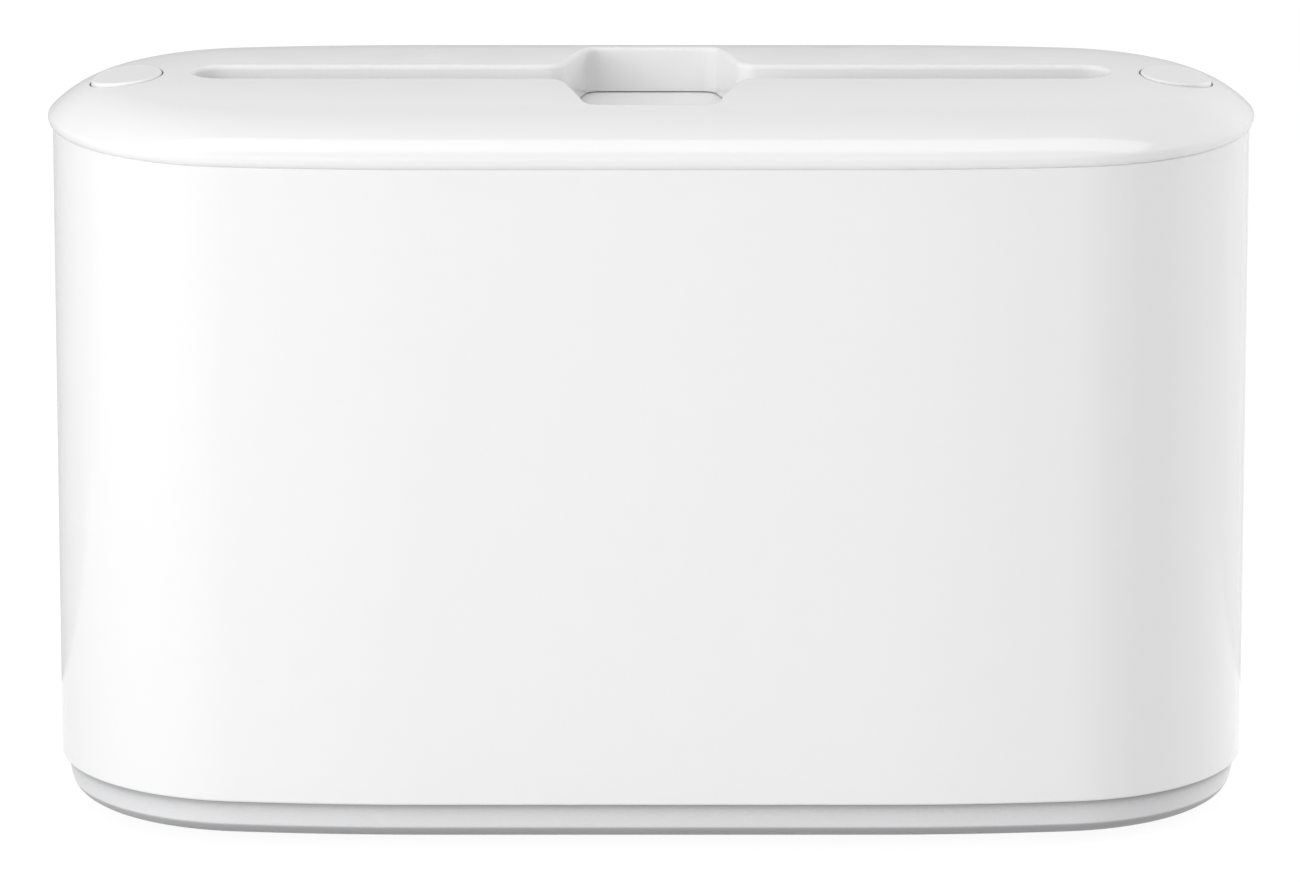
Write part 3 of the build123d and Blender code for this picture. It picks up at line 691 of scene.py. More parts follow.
@dataclass(frozen=True)
class Frame:
    """Sizes that the sub-assemblies share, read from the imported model, in millimetres."""

    plan: PillPlan
    dome: Dome
    seam: float
    body_foot: float

    @classmethod
    def read(cls) -> "Frame":
        """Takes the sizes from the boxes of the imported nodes."""
        lid_high = box_mm("lid_cover")[1]
        body_low, body_high = box_mm("body_shell")
        plan = PillPlan(lid_high.x, lid_high.y)
        return cls(plan, Dome(plan, body_high.z + Dome.lip_drop), body_high.z, body_low.z)

    def locating_ribs(self, skin: Skin, inset: float, wall: float, low: float, high: float) -> None:
        """Adds the short ribs that keep the lid or the base in line with the body.

        Args:
            skin: The mesh they are added to.
            inset: How far they lie inside the lid's edge.
            wall: Their thickness.
            low: Height of their lower end.
            high: Height of their upper end.
        """
        side_half, row_y, half_width = 52.0, 24.0, 5.0
        for way in (-1, 1):
            near, far = sorted(way * (self.plan.half_depth - inset - w) for w in (0, wall))
            skin.block((-side_half, near, low), (side_half, far, high))
            for row in (-1, 1):
                depths = [row * row_y - half_width + 2 * i for i in range(6)]
                outer = [(way * self.plan.end_reach(y, inset), y) for y in depths]
                inner = [(way * self.plan.end_reach(y, inset + wall), y) for y in depths]
                skin.post([*outer, *reversed(inner)], low, high)


class Wiring:
    """Short ways to place and join the nodes of one tree."""

    def __init__(self, tree: bpy.types.NodeTree) -> None:
        """Works on the given tree."""
        self.tree = tree

    def feed(self, node: bpy.types.Node, values: dict[str, object]) -> None:
        """Gives a node's inputs their values.

        Args:
            node: The node.
            values: Value or feeding socket of each named or numbered input.
        """
        for label, value in values.items():
            socket = node.inputs[int(label) if label.isdigit() else label]
            if isinstance(value, bpy.types.NodeSocket):
                self.tree.links.new(value, socket)
            else:
                socket.default_value = value

    def node(self, kind: str, values: dict[str, object] | None = None, **settings: object) -> bpy.types.Node:
        """Adds a node.

        Args:
            kind: Its Blender type.
            values: Value or feeding socket of each named or numbered input.
            **settings: Its own properties.

        Returns:
            The node.
        """
        made = self.tree.nodes.new(kind)
        for label, value in settings.items():
            setattr(made, label, value)
        self.feed(made, values or {})
        return made

    def effect(
        self, tree: bpy.types.ShaderNodeTree, values: dict[str, object]
    ) -> bpy.types.bpy_prop_collection:
        """The outputs of a shared group that is given the values."""
        return self.node("ShaderNodeGroup", values, node_tree=tree).outputs

    def place(self) -> bpy.types.NodeSocket:
        """The place on the piece, in metres."""
        return self.node("ShaderNodeTexCoord").outputs["Object"]

    def maths(self, operation: str, one: object, other: object = 0.0) -> bpy.types.NodeSocket:
        """The result of a sum on one or two values."""
        return self.node("ShaderNodeMath", {"0": one, "1": other}, operation=operation).outputs[0]

    def spread(
        self, value: object, low: object, high: float, start: float, end: float
    ) -> bpy.types.NodeSocket:
        """A value carried over from one range to another, without leaving it."""
        values = {"Value": value, "From Min": low, "From Max": high, "To Min": start, "To Max": end}
        return self.node("ShaderNodeMapRange", values, clamp=True).outputs[0]

    def noise(
        self, vector: object, scale: object, detail: float = 2.0, rough: float = 0.5
    ) -> bpy.types.NodeSocket:
        """Soft noise from 0 to 1 over the surface."""
        values = {"Vector": vector, "Scale": scale, "Detail": detail, "Roughness": rough}
        return self.node("ShaderNodeTexNoise", values).outputs[0]

    def shade(self, colour: object, factor: object) -> bpy.types.NodeSocket:
        """A colour made darker by a factor."""
        grey = self.node("ShaderNodeCombineColor", dict.fromkeys(("Red", "Green", "Blue"), factor))
        values = {"0": 1.0, "6": colour, "7": grey.outputs[0]}
        return self.node("ShaderNodeMix", values, data_type="RGBA", blend_type="MULTIPLY").outputs[2]

    def darkened(self, colour: object, mask: object, depth: object) -> bpy.types.NodeSocket:
        """A colour made darker by depth where a mask is 1."""
        return self.shade(colour, self.maths("SUBTRACT", 1.0, self.maths("MULTIPLY", mask, depth)))

    def bump(self, height: bpy.types.NodeSocket, depth: float) -> bpy.types.NodeSocket:
        """The direction of a surface whose texture is depth millimetres deep."""
        values = {"Height": height, "Strength": 1.0, "Distance": depth * MM}
        return self.node("ShaderNodeBump", values).outputs["Normal"]


class Group(Wiring):
    """A shader node group while it is wired."""

    def __init__(self, name: str, usual: dict[str, float | tuple[float, ...]]) -> None:
        """Starts the group.

        Args:
            name: Its name.
            usual: Usual value of each input: a number, a vector, or a colour of four numbers.
        """
        super().__init__(bpy.data.node_groups.new(name, "ShaderNodeTree"))
        for label, value in usual.items():
            kind = "Float" if isinstance(value, float) else "Color" if len(value) == 4 else "Vector"
            made = self.tree.interface.new_socket(label, in_out="INPUT", socket_type=f"NodeSocket{kind}")
            made.default_value = value
        self.given = self.tree.nodes.new("NodeGroupInput").outputs

    def ended(self, results: dict[str, bpy.types.NodeSocket]) -> bpy.types.ShaderNodeTree:
        """Gives the group its outputs.

        Args:
            results: The socket that feeds each output.

        Returns:
            The finished group.
        """
        for label, result in results.items():
            kind = "Color" if result.type == "RGBA" else "Float"
            self.tree.interface.new_socket(label, in_out="OUTPUT", socket_type=f"NodeSocket{kind}")
        self.feed(self.tree.nodes.new("NodeGroupOutput"), results)
        return self.tree


class Effects:
    """Shader node groups that several finishes share."""

    def __init__(self) -> None:
        """Builds each group once."""
        self.moulded = self.moulded_skin()
        self.handled = self.handling_marks()
        self.hollow = self.hollow_shade()
        self.rolled = self.rolled_grain()

    def moulded_skin(self) -> bpy.types.ShaderNodeTree:
        """Skin of a moulding: faint cloudy shade, uneven gloss and the fine texture of the mould."""
        usual = {"Colour": (0.8, 0.8, 0.8, 1), "Cloud": 0.02, "Roughness": 0.3, "Gloss spread": 0.05}
        group = Group("Moulded skin", {**usual, "Grain size": 900.0})
        given, where = group.given, group.place()
        cloud = group.noise(where, scale=14.0, detail=3.0)
        colour = group.darkened(given["Colour"], cloud, given["Cloud"])
        patch = group.maths("SUBTRACT", group.noise(where, scale=38.0, detail=4.0, rough=0.6), 0.5)
        uneven = group.maths("MULTIPLY", patch, given["Gloss spread"])
        roughness = group.maths("ADD", given["Roughness"], uneven)
        height = group.noise(where, given["Grain size"])
        return group.ended({"Colour": colour, "Roughness": roughness, "Height": height})

    def handling_marks(self) -> bpy.types.ShaderNodeTree:
        """Mask of the faint smudges and wiped streaks that hands and cloths leave."""
        group = Group("Handling marks", {"Amount": 0.5, "Smudge size": 22.0})
        given, where = group.given, group.place()
        cloud = group.noise(where, given["Smudge size"], detail=3.0, rough=0.55)
        smudge = group.spread(cloud, low=0.52, high=0.72, start=0.0, end=1.0)
        stretched = group.node("ShaderNodeMapping", {"Vector": where, "Scale": (9.0, 9.0, 160.0)})
        lines = group.noise(stretched.outputs[0], scale=3.0, detail=4.0, rough=0.65)
        streak = group.spread(lines, low=0.55, high=0.8, start=0.0, end=0.6)
        both = group.maths("MAXIMUM", smudge, streak)
        return group.ended({"Mask": group.maths("MULTIPLY", both, given["Amount"])})

    def hollow_shade(self) -> bpy.types.ShaderNodeTree:
        """Shade that gathers in joints and under overhangs, as a darker version of the colour."""
        usual = {"Colour": (0.8, 0.8, 0.8, 1), "Reach": 0.004, "Depth": 0.3, "Full at": 0.6}
        group = Group("Hollow shade", usual)
        given = group.given
        near = group.node("ShaderNodeAmbientOcclusion", {"Distance": given["Reach"]}, samples=16)
        closed = group.spread(near.outputs["AO"], given["Full at"], high=0.975, start=1.0, end=0.0)
        return group.ended({"Colour": group.darkened(given["Colour"], closed, given["Depth"])})

    def rolled_grain(self) -> bpy.types.ShaderNodeTree:
        """Fine lines that rolling or turning leaves in steel, along one direction."""
        usual = {"Colour": (0.6, 0.6, 0.6, 1), "Line scale": (2.0, 2.0, 60.0), "Depth": 0.12}
        group = Group("Rolled grain", usual)
        given = group.given
        values = {"0": group.place(), "1": given["Line scale"]}
        lines = group.node("ShaderNodeVectorMath", values, operation="MULTIPLY")
        grain = group.noise(lines.outputs[0], scale=40.0, detail=6.0, rough=0.7)
        colour = group.darkened(given["Colour"], grain, given["Depth"])
        roughness = group.spread(grain, low=0.3, high=0.7, start=0.22, end=0.42)
        return group.ended({"Colour": colour, "Roughness": roughness, "Height": grain})


def started(name: str) -> tuple[bpy.types.Material, Wiring, bpy.types.Node]:
    """Starts a material.

    Args:
        name: Its name.

    Returns:
        The material, its wiring and its surface shader.
    """
    material = bpy.data.materials.new(name)
    material.use_nodes = True
    return material, Wiring(material.node_tree), material.node_tree.nodes["Principled BSDF"]


@dataclass(frozen=True)
class Moulding:
    """A moulded plastic or rubber finish."""

    name: str
    colour: Point
    roughness: float
    gloss_spread: float
    grain_size: float
    grain_depth: float
    cloud: float = 0.02
    marks: float = 0.0
    mark_roughness: float = 0.1
    # Reach in millimetres, depth, and the occlusion at which it is full, of the painted shade in hollows and
    # under overhangs.
    hollow: Point = (3.0, 0.12, 0.6)

    def material(self, effects: Effects) -> bpy.types.Material:
        """Builds the material.

        Args:
            effects: The shared shader groups.

        Returns:
            The material.
        """
        material, wires, shader = started(self.name)
        values = {"Colour": (*self.colour, 1), "Cloud": self.cloud, "Roughness": self.roughness}
        values |= {"Gloss spread": self.gloss_spread, "Grain size": self.grain_size}
        skin = wires.effect(effects.moulded, values)
        # Painted shade: the colour is darkened where ambient occlusion finds joints, hollows and overhangs.
        reach, depth, full = self.hollow
        values = {"Colour": skin["Colour"], "Reach": reach * MM, "Depth": depth, "Full at": full}
        colour = wires.effect(effects.hollow, values)["Colour"]
        roughness = skin["Roughness"]
        if self.marks:
            mask = wires.effect(effects.handled, {"Amount": self.marks})["Mask"]
            roughness = wires.maths("ADD", roughness, wires.maths("MULTIPLY", mask, self.mark_roughness))
        normal = wires.bump(skin["Height"], self.grain_depth)
        wires.feed(shader, {"Base Color": colour, "Roughness": roughness, "Normal": normal})
        return material


@dataclass(frozen=True)
class Steel:
    """A bare or plated steel finish with the lines of its making."""

    name: str
    colour: Point
    line_scale: Point
    depth: float
    grain_depth: float

    def material(self, effects: Effects) -> bpy.types.Material:
        """Builds the material.

        Args:
            effects: The shared shader groups.

        Returns:
            The material.
        """
        material, wires, shader = started(self.name)
        values = {"Colour": (*self.colour, 1), "Line scale": self.line_scale, "Depth": self.depth}
        grain = wires.effect(effects.rolled, values)
        normal = wires.bump(grain["Height"], self.grain_depth)
        values = {"Base Color": grain["Colour"], "Roughness": grain["Roughness"], "Normal": normal}
        wires.feed(shader, {**values, "Metallic": 1.0})
        return material


class Finish(Enum):
    """The record's material slots, each with its finish."""

    GLOSS_WHITE = Moulding(
        "gloss_white", (0.86, 0.86, 0.86), 0.035, 0.02, 260.0, 0.0008, 0.008, 0.6, 0.03, (6.0, 0.02, 0.6)
    )
    # Strong painted shade on the base: darker under the body's overhang and near the floor.
    BASE_GREY = Moulding(
        "base_grey", (0.785, 0.785, 0.795), 0.42, 0.08, 1500.0, 0.012, 0.03, hollow=(6.6, 0.5, 0.93)
    )
    PLATFORM_WHITE = Moulding(
        "platform_white", (0.93, 0.93, 0.93), 0.36, 0.08, 1200.0, 0.01, 0.02, 0.8, 0.12, (2.0, 0.06, 0.6)
    )
    INNER_GREY = Moulding("inner_grey", (0.5, 0.5, 0.51), 0.45, 0.08, 1300.0, 0.012, 0.05)
    NATURAL_ACETAL = Moulding("natural_acetal", (0.78, 0.77, 0.73), 0.38, 0.06, 1100.0, 0.008, 0.03)
    FOOT_RUBBER = Moulding("foot_rubber", (0.035, 0.035, 0.035), 0.7, 0.12, 2200.0, 0.02, 0.2)
    SPRING_STEEL = Steel("spring_steel", (0.5, 0.5, 0.52), (2.0, 60.0, 2.0), 0.18, 0.004)
    PIN_STEEL = Steel("pin_steel", (0.62, 0.62, 0.63), (60.0, 2.0, 60.0), 0.1, 0.002)
    SCREW_STEEL = Steel("screw_steel", (0.55, 0.55, 0.56), (30.0, 30.0, 30.0), 0.16, 0.004)


class Paintbox:
    """The finished materials, and how a piece takes one."""

    def __init__(self) -> None:
        """Builds every material once."""
        effects = Effects()
        self.materials = {finish: finish.value.material(effects) for finish in Finish}

    def dress(self, piece: bpy.types.Object, finish: Finish) -> bpy.types.Object:
        """Gives a new piece its finish.

        Args:
            piece: The piece.
            finish: The finish.

        Returns:
            The piece.
        """
        piece.data.materials.clear()
        piece.data.materials.append(self.materials[finish])
        return piece

    def dress_nodes(self, *nodes: str) -> None:
        """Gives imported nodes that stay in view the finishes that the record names.

        Args:
            *nodes: Their names.
        """
        named = {s["node"]: s["material_slot"] for s in frame["record"]["subparts"]}
        for node in nodes:
            finish = next(f for f in Finish if f.value.name == named[node])
            for holder in frame["nodes"][node].material_slots:
                holder.material = self.materials[finish]
            LOG.info("%s keeps its packed shape, in %s", node, finish.value.name)

    def place(self, skin: Skin, name: str, body: str, node: str, finish: Finish) -> None:
        """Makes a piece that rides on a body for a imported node, and dresses it."""
        self.dress(install(skin.build(name), body, node), finish)


def install(piece: bpy.types.Object, body: str, *nodes: str) -> bpy.types.Object:
    """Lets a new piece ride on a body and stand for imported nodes.

    Args:
        piece: The piece.
        body: Name of the body.
        *nodes: Names of the nodes.

    Returns:
        The piece.
    """
    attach(piece, body)
    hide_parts(*nodes)
    LOG.info("%s rides on %s for %s, %d faces", piece.name, body, ", ".join(nodes), len(piece.data.polygons))
    return piece


@dataclass
class Body:
    """Body shell: an open tube with guide ribs, braces, screw bosses and latch catches inside."""

    frame: Frame
    paint: Paintbox
    overhang: float = 1.25
    wall: float = 2.8
    foot_round: float = 0.9
    top_round: float = 0.4
    rib_count: int = 6
    rib_pitch: float = 40.0
    rib_wall: float = 2.0
    rib_y: float = 42.0
    rib_span: Flat = (22.2, 178.8)
    brace: Point = (131.2, 58.6, 148.6)
    brace_y: float = 11.0
    boss_at: Flat = (137.0, 27.0)
    boss_radius: float = 3.95
    boss_span: Flat = (21.2, 41.2)
    catch: Point = (149.7, 165.9, 7.0)
    catch_edge: float = 1.4
    catch_rise: float = 5.0

    def build(self) -> None:
        """Makes the body shell."""
        skin = Skin()
        inner = self.overhang + self.wall
        low, high = self.frame.body_foot, self.frame.seam
        corners = [
            (-inner, low, self.top_round),
            (-self.overhang, low, self.foot_round),
            (-self.overhang, high, self.top_round),
            (-inner, high, self.top_round),
        ]
        profile = rounded(corners, WHOLE_RUN, radians(15))
        skin.loft(self.frame.plan.stations(), profile, close=True)
        self.guide_ribs(skin)
        self.end_ribs(skin)
        self.paint.place(skin, "body_moulding", "housing", "body_shell", Finish.GLOSS_WHITE)

    def guide_ribs(self, skin: Skin) -> None:
        """Adds the upright ribs that guide the towels.

        Args:
            skin: The mesh they are added to.
        """
        half, reach = self.rib_wall / 2, self.overhang + self.wall / 2
        for i in range(self.rib_count):
            x = (i - (self.rib_count - 1) / 2) * self.rib_pitch
            far = self.frame.plan.side_y(abs(x) + half, reach)
            for way in (-1, 1):
                near_y, far_y = sorted((way * self.rib_y, way * far))
                skin.block((x - half, near_y, self.rib_span[0]), (x + half, far_y, self.rib_span[1]))

    def end_ribs(self, skin: Skin) -> None:
        """Adds the braces behind the rails, the bosses with their fins, and the latch catches.

        Args:
            skin: The mesh they are added to.
        """
        plan, half, reach = self.frame.plan, self.rib_wall / 2, self.overhang + self.wall / 2
        for side in (-1, 1):
            for row in (-1, 1):
                y = row * self.brace_y
                ends = sorted((side * self.brace[0], side * plan.end_reach(self.brace_y + half, reach)))
                skin.block((ends[0], y - half, self.brace[1]), (ends[1], y + half, self.brace[2]))
                x, y = side * self.boss_at[0], row * self.boss_at[1]
                skin.pin(x, y, self.boss_radius, *self.boss_span)
                out = Vector((x - side * plan.end_x, y)).normalized()
                across = Vector((-out.y, out.x)) * half
                far = Vector((side * plan.end_x, 0)) + out * (plan.end_radius - reach)
                near = Vector((x, y))
                fin = [near - across, far - across, far + across, near + across]
                skin.post([tuple(p) for p in fin], *self.boss_span)
            x, z, half_width = self.catch
            wall_x = plan.end_reach(half_width, reach)
            rise = self.catch_rise * (wall_x - x) / (plan.half_length - x)
            ramp = z + self.catch_edge + rise
            shape = [(x, z), (x, z + self.catch_edge), (wall_x, ramp), (wall_x, z)]
            skin.bar(*[[(side * a, y, b) for a, b in shape] for y in (-half_width, half_width)])


@dataclass
class Plinth:
    """Base plinth: a tapered tray set in under the body, on four rubber feet."""

    frame: Frame
    paint: Paintbox
    bottom: float = 3.0
    floor: float = 6.0
    top_inset: float = 2.6
    bottom_inset: float = 4.8
    rim_inset: float = 6.4
    floor_inset: float = 9.3
    flat_inset: float = 9.6
    edge_round: float = 5.5
    rim_round: float = 0.5
    screw_at: Flat = (137.0, 27.0)
    hole_radius: float = 3.75
    tube_bore: float = 3.7
    tube_radius: float = 5.7
    screw_bore: float = 1.95
    tube_sink: float = 0.1
    tube_top: float = 21.2
    seat: float = 11.0
    rail_pad: tuple[Flat, Flat] = ((130.85, 140.8), (5.6, 10.0))
    pad_half: float = 11.0
    rib_inset: float = 4.4
    rib_wall: float = 2.0
    rib_sink: float = 0.8
    foot_at: Flat = (116.0, 21.0)
    foot_radius: float = 8.0
    foot_steps: int = 40
    cup_radii: Point = (3.0, 4.4, 5.0)
    cup_depth: float = 0.5

    def build(self) -> None:
        """Makes the tray and the feet."""
        skin = Skin()
        top, edge = self.frame.body_foot, self.rim_round
        profile = section(
            [
                (-self.flat_inset, self.bottom, 0),
                (-self.bottom_inset, self.bottom, self.edge_round),
                (-self.top_inset, top, edge),
                (-self.rim_inset, top, edge),
                (-self.floor_inset, self.floor, edge),
                (-self.floor_inset - edge, self.floor, 0),
            ]
        )
        rows = skin.loft(self.frame.plan.stations(), profile)
        spots = [(i * self.screw_at[0], j * self.screw_at[1]) for i, j in QUADRANTS]
        lower, upper = [
            [skin.level(circle(*spot, self.hole_radius), 0, height) for spot in spots]
            for height in (self.bottom, self.floor)
        ]
        for one, other in zip(lower, upper):
            skin.bridge(one, other)
        skin.patch(rows[0], lower)
        skin.patch(rows[-1], upper)
        self.tubes(skin, spots)
        for side in (-1, 1):
            near, far = sorted(side * x for x in self.rail_pad[0])
            low, high = self.rail_pad[1]
            skin.block((near, -self.pad_half, low), (far, self.pad_half, high))
        self.frame.locating_ribs(skin, self.rib_inset, self.rib_wall, top - self.rib_sink, self.tube_top)
        self.paint.place(skin, "plinth_tray", "housing", "base_plinth", Finish.BASE_GREY)
        self.feet()

    def tubes(self, skin: Skin, spots: Sequence[Flat]) -> None:
        """Adds the tubes that hold the screws.

        Args:
            skin: The mesh they are added to.
            spots: Their places.
        """
        foot = self.floor - self.tube_sink
        tube = [
            (self.tube_bore, foot, 0.05),
            (self.tube_radius, foot, 0.05),
            (self.tube_radius, self.tube_top, 0.3),
            (self.screw_bore, self.tube_top, 0.3),
            (self.screw_bore, self.seat, 0.2),
            (self.tube_bore, self.seat, 0.2),
        ]
        for spot in spots:
            skin.loft(circle(*spot, 0), rounded(tube, WHOLE_RUN, radians(30)), close=True)

    def feet(self) -> None:
        """Makes the four feet, each with a shallow cup under it that grips."""
        skin = Skin()
        middle, inner, outer = self.cup_radii
        profile = section(
            [
                (middle, self.cup_depth, 0),
                (inner, self.cup_depth, 0.3),
                (outer, 0.0, 0.3),
                (self.foot_radius, 0.0, 0.7),
                (self.foot_radius - 0.3, self.bottom, 0.15),
                (middle, self.bottom, 0),
            ]
        )
        for i, j in QUADRANTS:
            spot = circle(i * self.foot_at[0], j * self.foot_at[1], 0, self.foot_steps)
            rows = skin.loft(spot, profile)
            skin.faces += [tuple(rows[0]), tuple(rows[-1])]
        self.paint.place(skin, "feet", "housing", "rubber_feet", Finish.FOOT_RUBBER)


@dataclass
class Lid:
    """Domed lid with the towel slot, the finger opening and the wells of the two buttons."""

    frame: Frame
    paint: Paintbox
    wall: float = 2.6
    shell_inset: float = 8.5
    slot: Flat = (244.0, 15.4)
    finger: Point = (69.4, 33.8, 47.5)
    finger_corner: float = 4.0
    slot_blend: float = 6.0
    rim: float = 1.3
    rim_room: float = 0.8
    throat_wall: float = 2.2
    throat_floor: float = 187.35
    button_x: float = 140.0
    button_size: Point = (19.0, 21.8, 13.0)
    button_gap: float = 0.35
    well_rim: float = 0.2
    well_room: float = 1.2
    guide_wall: float = 1.6
    guide_floor: float = 192.03
    under_room: float = 3.2
    wall_edge: float = 0.4
    boss_y: float = 17.0
    boss_radius: float = 3.4
    boss_span: Flat = (187.632, 197.2)
    rib_inset: float = 4.4
    rib_wall: float = 1.8
    rib_drop: float = 6.0
    rib_top: float = 192.0
    crown_rows: tuple[tuple[float, int], ...] = (
        *((10.3, 1), (12.2, 1), (14.4, 1), (17, 2), (20, 2)),
        *((24, 2), (28, 3), (33, 4), (38, 4), (41.5, 4)),
    )

    def build(self) -> None:
        """Makes the lid."""
        skin = Skin()
        dome, stations = self.frame.dome, self.frame.plan.stations()
        opening = self.opening()
        wells = [self.well(side.value) for side in Side]
        profile = [*dome.inner_rows(self.wall, self.shell_inset), *dome.outer_rows(self.shell_inset)]
        rows = skin.loft(stations, profile)
        holes = [self.pierce(skin, opening, self.rim, self.throat_floor, self.throat_wall)]
        holes += [self.pierce(skin, well, self.well_rim, self.guide_floor, self.guide_wall) for well in wells]
        tops, undersides = [h[0] for h in holes], [h[1] for h in holes]
        room = self.rim + self.rim_room
        clear = [[s.at(room) for s in opening]] + [[s.at(self.well_room) for s in well] for well in wells]
        skin.patch(rows[-1], tops, self.crown_points(clear), dome.lift())
        clear = [[s.at(self.under_room) for s in outline] for outline in (opening, *wells)]
        skin.patch(rows[0], undersides, self.crown_points(clear), dome.lift(self.wall))
        for i, j in QUADRANTS:
            skin.pin(i * self.button_x, j * self.boss_y, self.boss_radius, *self.boss_span)
        foot = self.frame.seam - self.rib_drop
        self.frame.locating_ribs(skin, self.rib_inset, self.rib_wall, foot, self.rib_top)
        self.paint.place(skin, "lid_moulding", "lid", "lid_cover", Finish.GLOSS_WHITE)

    def opening(self) -> list[Station]:
        """Outline of the towel slot joined to the finger opening."""
        tip_x, tip_y = self.slot[0] / 2, self.slot[1] / 2
        depth, end, middle = (size / 2 for size in self.finger)
        quarter_turn = [
            (tip_x, tip_y, tip_y - 0.001),
            (middle, tip_y, self.slot_blend),
            (end, depth, self.finger_corner),
        ]
        upper = quarter_turn + [(-x, y, r) for x, y, r in reversed(quarter_turn)]
        return rounded(upper + [(-x, -y, r) for x, y, r in upper])

    def well(self, side: int) -> list[Station]:
        """Outline of the well of one button.

        Args:
            side: 1 for the right and -1 for the left.

        Returns:
            The stations of the outline.
        """
        length, depth, flat = self.button_size
        gap = self.button_gap
        return oval(side * self.button_x, length + 2 * gap, depth + 2 * gap, flat + gap)

    def pierce(
        self, skin: Skin, outline: Sequence[Station], rim: float, low: float, wall: float
    ) -> tuple[list[int], list[int]]:
        """Makes the rolled rim and the walls of one opening.

        Args:
            skin: The mesh they are added to.
            outline: The opening at its clear size.
            rim: Radius of the rolled rim.
            low: Height of the walls' lower end.
            wall: Thickness of the walls.

        Returns:
            The rows of points where they meet the lid's outside and its inside.
        """
        rows = skin.roll(outline, rim, 1, self.frame.dome.lift())
        edge = self.wall_edge
        for c, s in quarter(4):
            rows.append(skin.level(outline, edge * (1 - c), low + edge * (1 - s), (-c, -s)))
        for c, s in quarter(4):
            rows.append(skin.level(outline, wall - edge + edge * s, low + edge * (1 - c), (s, -c)))
        below = self.frame.dome.lift(self.wall)
        under = [station.at(wall) for station in outline]
        rows.append(skin.ring([(x, y, below(x, y)[0]) for x, y in under]))
        skin.stack(rows)
        return rows[0], rows[-1]

    def crown_points(self, clear: Sequence[Sequence[Flat]]) -> list[Flat]:
        """Points over the crown, away from its openings.

        Args:
            clear: Outlines of the openings, grown by the room to leave.

        Returns:
            The points.
        """
        found = []
        stations = self.frame.plan.stations()
        for inset, stride in self.crown_rows:
            for station in stations[::stride]:
                spot = station.at(-inset)
                if not any(inside(spot, outline) for outline in clear):
                    found.append(spot)
        return found


@dataclass
class ReleaseButton:
    """Oval push button at one end of the slot, with its snap tabs, its stem and its spring post."""

    frame: Frame
    paint: Paintbox
    side: Side
    x: float = 140.0
    size: Point = (19.0, 21.8, 13.0)
    proud: Flat = (0.8, 0.37)
    edge: float = 0.7
    wall: float = 2.2
    skirt_foot: float = 190.53
    roof: float = 197.03
    stem: Point = (146.9, 2.4, 183.16)
    spring_post: Point = (137.5, 2.2, 192.33)
    tab: Point = (4.0, 12.1, 1.2)
    tab_sink: float = 0.2
    post_sink: float = 0.6
    skirt_edge: float = 0.3
    top_insets: tuple[float, ...] = (2.4, 4.4, 6.4, 8.4)

    def lift(self, x: float, y: float) -> tuple[float, Point]:
        """Height and direction of the button's top.

        Args:
            x: Place along the body.
            y: Place across the body.

        Returns:
            The height and the direction.
        """
        share = (self.x + self.size[0] / 2 - abs(x)) / self.size[0]
        proud = self.proud[0] + (self.proud[1] - self.proud[0]) * share
        height, lean = self.frame.dome.over(self.frame.plan.half_length - abs(x), -proud)
        return height, (sin(lean) * self.side.value, 0.0, cos(lean))

    def build(self) -> None:
        """Makes the button."""
        skin = Skin()
        outline = oval(self.side.value * self.x, *self.size)
        rows = skin.roll(outline, self.edge, -1, self.lift)
        low, edge = self.skirt_foot, self.skirt_edge
        for offset, height, facing in (
            (0, low + edge, (1, 0)),
            (-edge, low, (0, -1)),
            (edge - self.wall, low, (0, -1)),
            (-self.wall, low + edge, (-1, 0)),
            (-self.wall, self.roof, None),
        ):
            rows.append(skin.level(outline, offset, height, facing))
        skin.stack(rows)
        extra = [s.at(-inset) for inset in self.top_insets for s in outline[::2]]
        skin.patch(rows[0], (), extra, self.lift)
        skin.patch(rows[-1])
        for x, radius, foot in (self.stem, self.spring_post):
            skin.pin(self.side.value * x, 0, radius, foot, self.roof + self.post_sink)
        middle, half = self.side.value * self.x, self.tab[0]
        inner = self.size[1] / 2 - self.wall + self.tab_sink
        for way in (-1, 1):
            near, far = sorted((way * inner, way * self.tab[1]))
            skin.block((middle - half, near, low), (middle + half, far, low + self.tab[2]))
        label = self.side.label
        names = (f"button_cap_{label}", f"button_{label}", f"release_button_{label}")
        self.paint.place(skin, *names, Finish.GLOSS_WHITE)


@dataclass
class LatchSet:
    """Latch at one end of the lid: its bracket, lever and pin, and the bowed leaf that returns the button."""

    paint: Paintbox
    side: Side
    middle_x: float = 137.5
    width: float = 5.0
    thickness: float = 0.4
    span: float = 12.0
    travel: float = 2.6
    steps: int = 20

    def build(self) -> None:
        """Makes the leaf and dresses the rest."""
        low, high = box_mm(f"button_spring_{self.side.label}")
        rise = high.z - low.z
        x = self.side.value * self.middle_x

        def leaf(span: float, height: float) -> list[Flat]:
            """Depths and heights along one face of the leaf."""
            shares = sweep(0, 1, self.steps, closed=True)
            return [(span * (s - 0.5), low.z + 4 * height * s * (1 - s)) for s in shares]

        under = leaf(self.span - 2 * self.thickness, rise - self.thickness)
        outline = [*leaf(self.span, rise), *reversed(under)]
        skin = Skin()
        ends = [x - self.width / 2, x + self.width / 2]
        skin.bar(*[[(end, y, z) for y, z in outline] for end in ends])
        made = skin.build(f"return_leaf_{self.side.label}")
        install(made, "lid", f"button_spring_{self.side.label}")
        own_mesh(made)
        self.paint.dress(made, Finish.SPRING_STEEL)
        kept = ("latch_bracket", "latch_lever", "latch_pin")
        self.paint.dress_nodes(*(f"{node}_{self.side.label}" for node in kept))


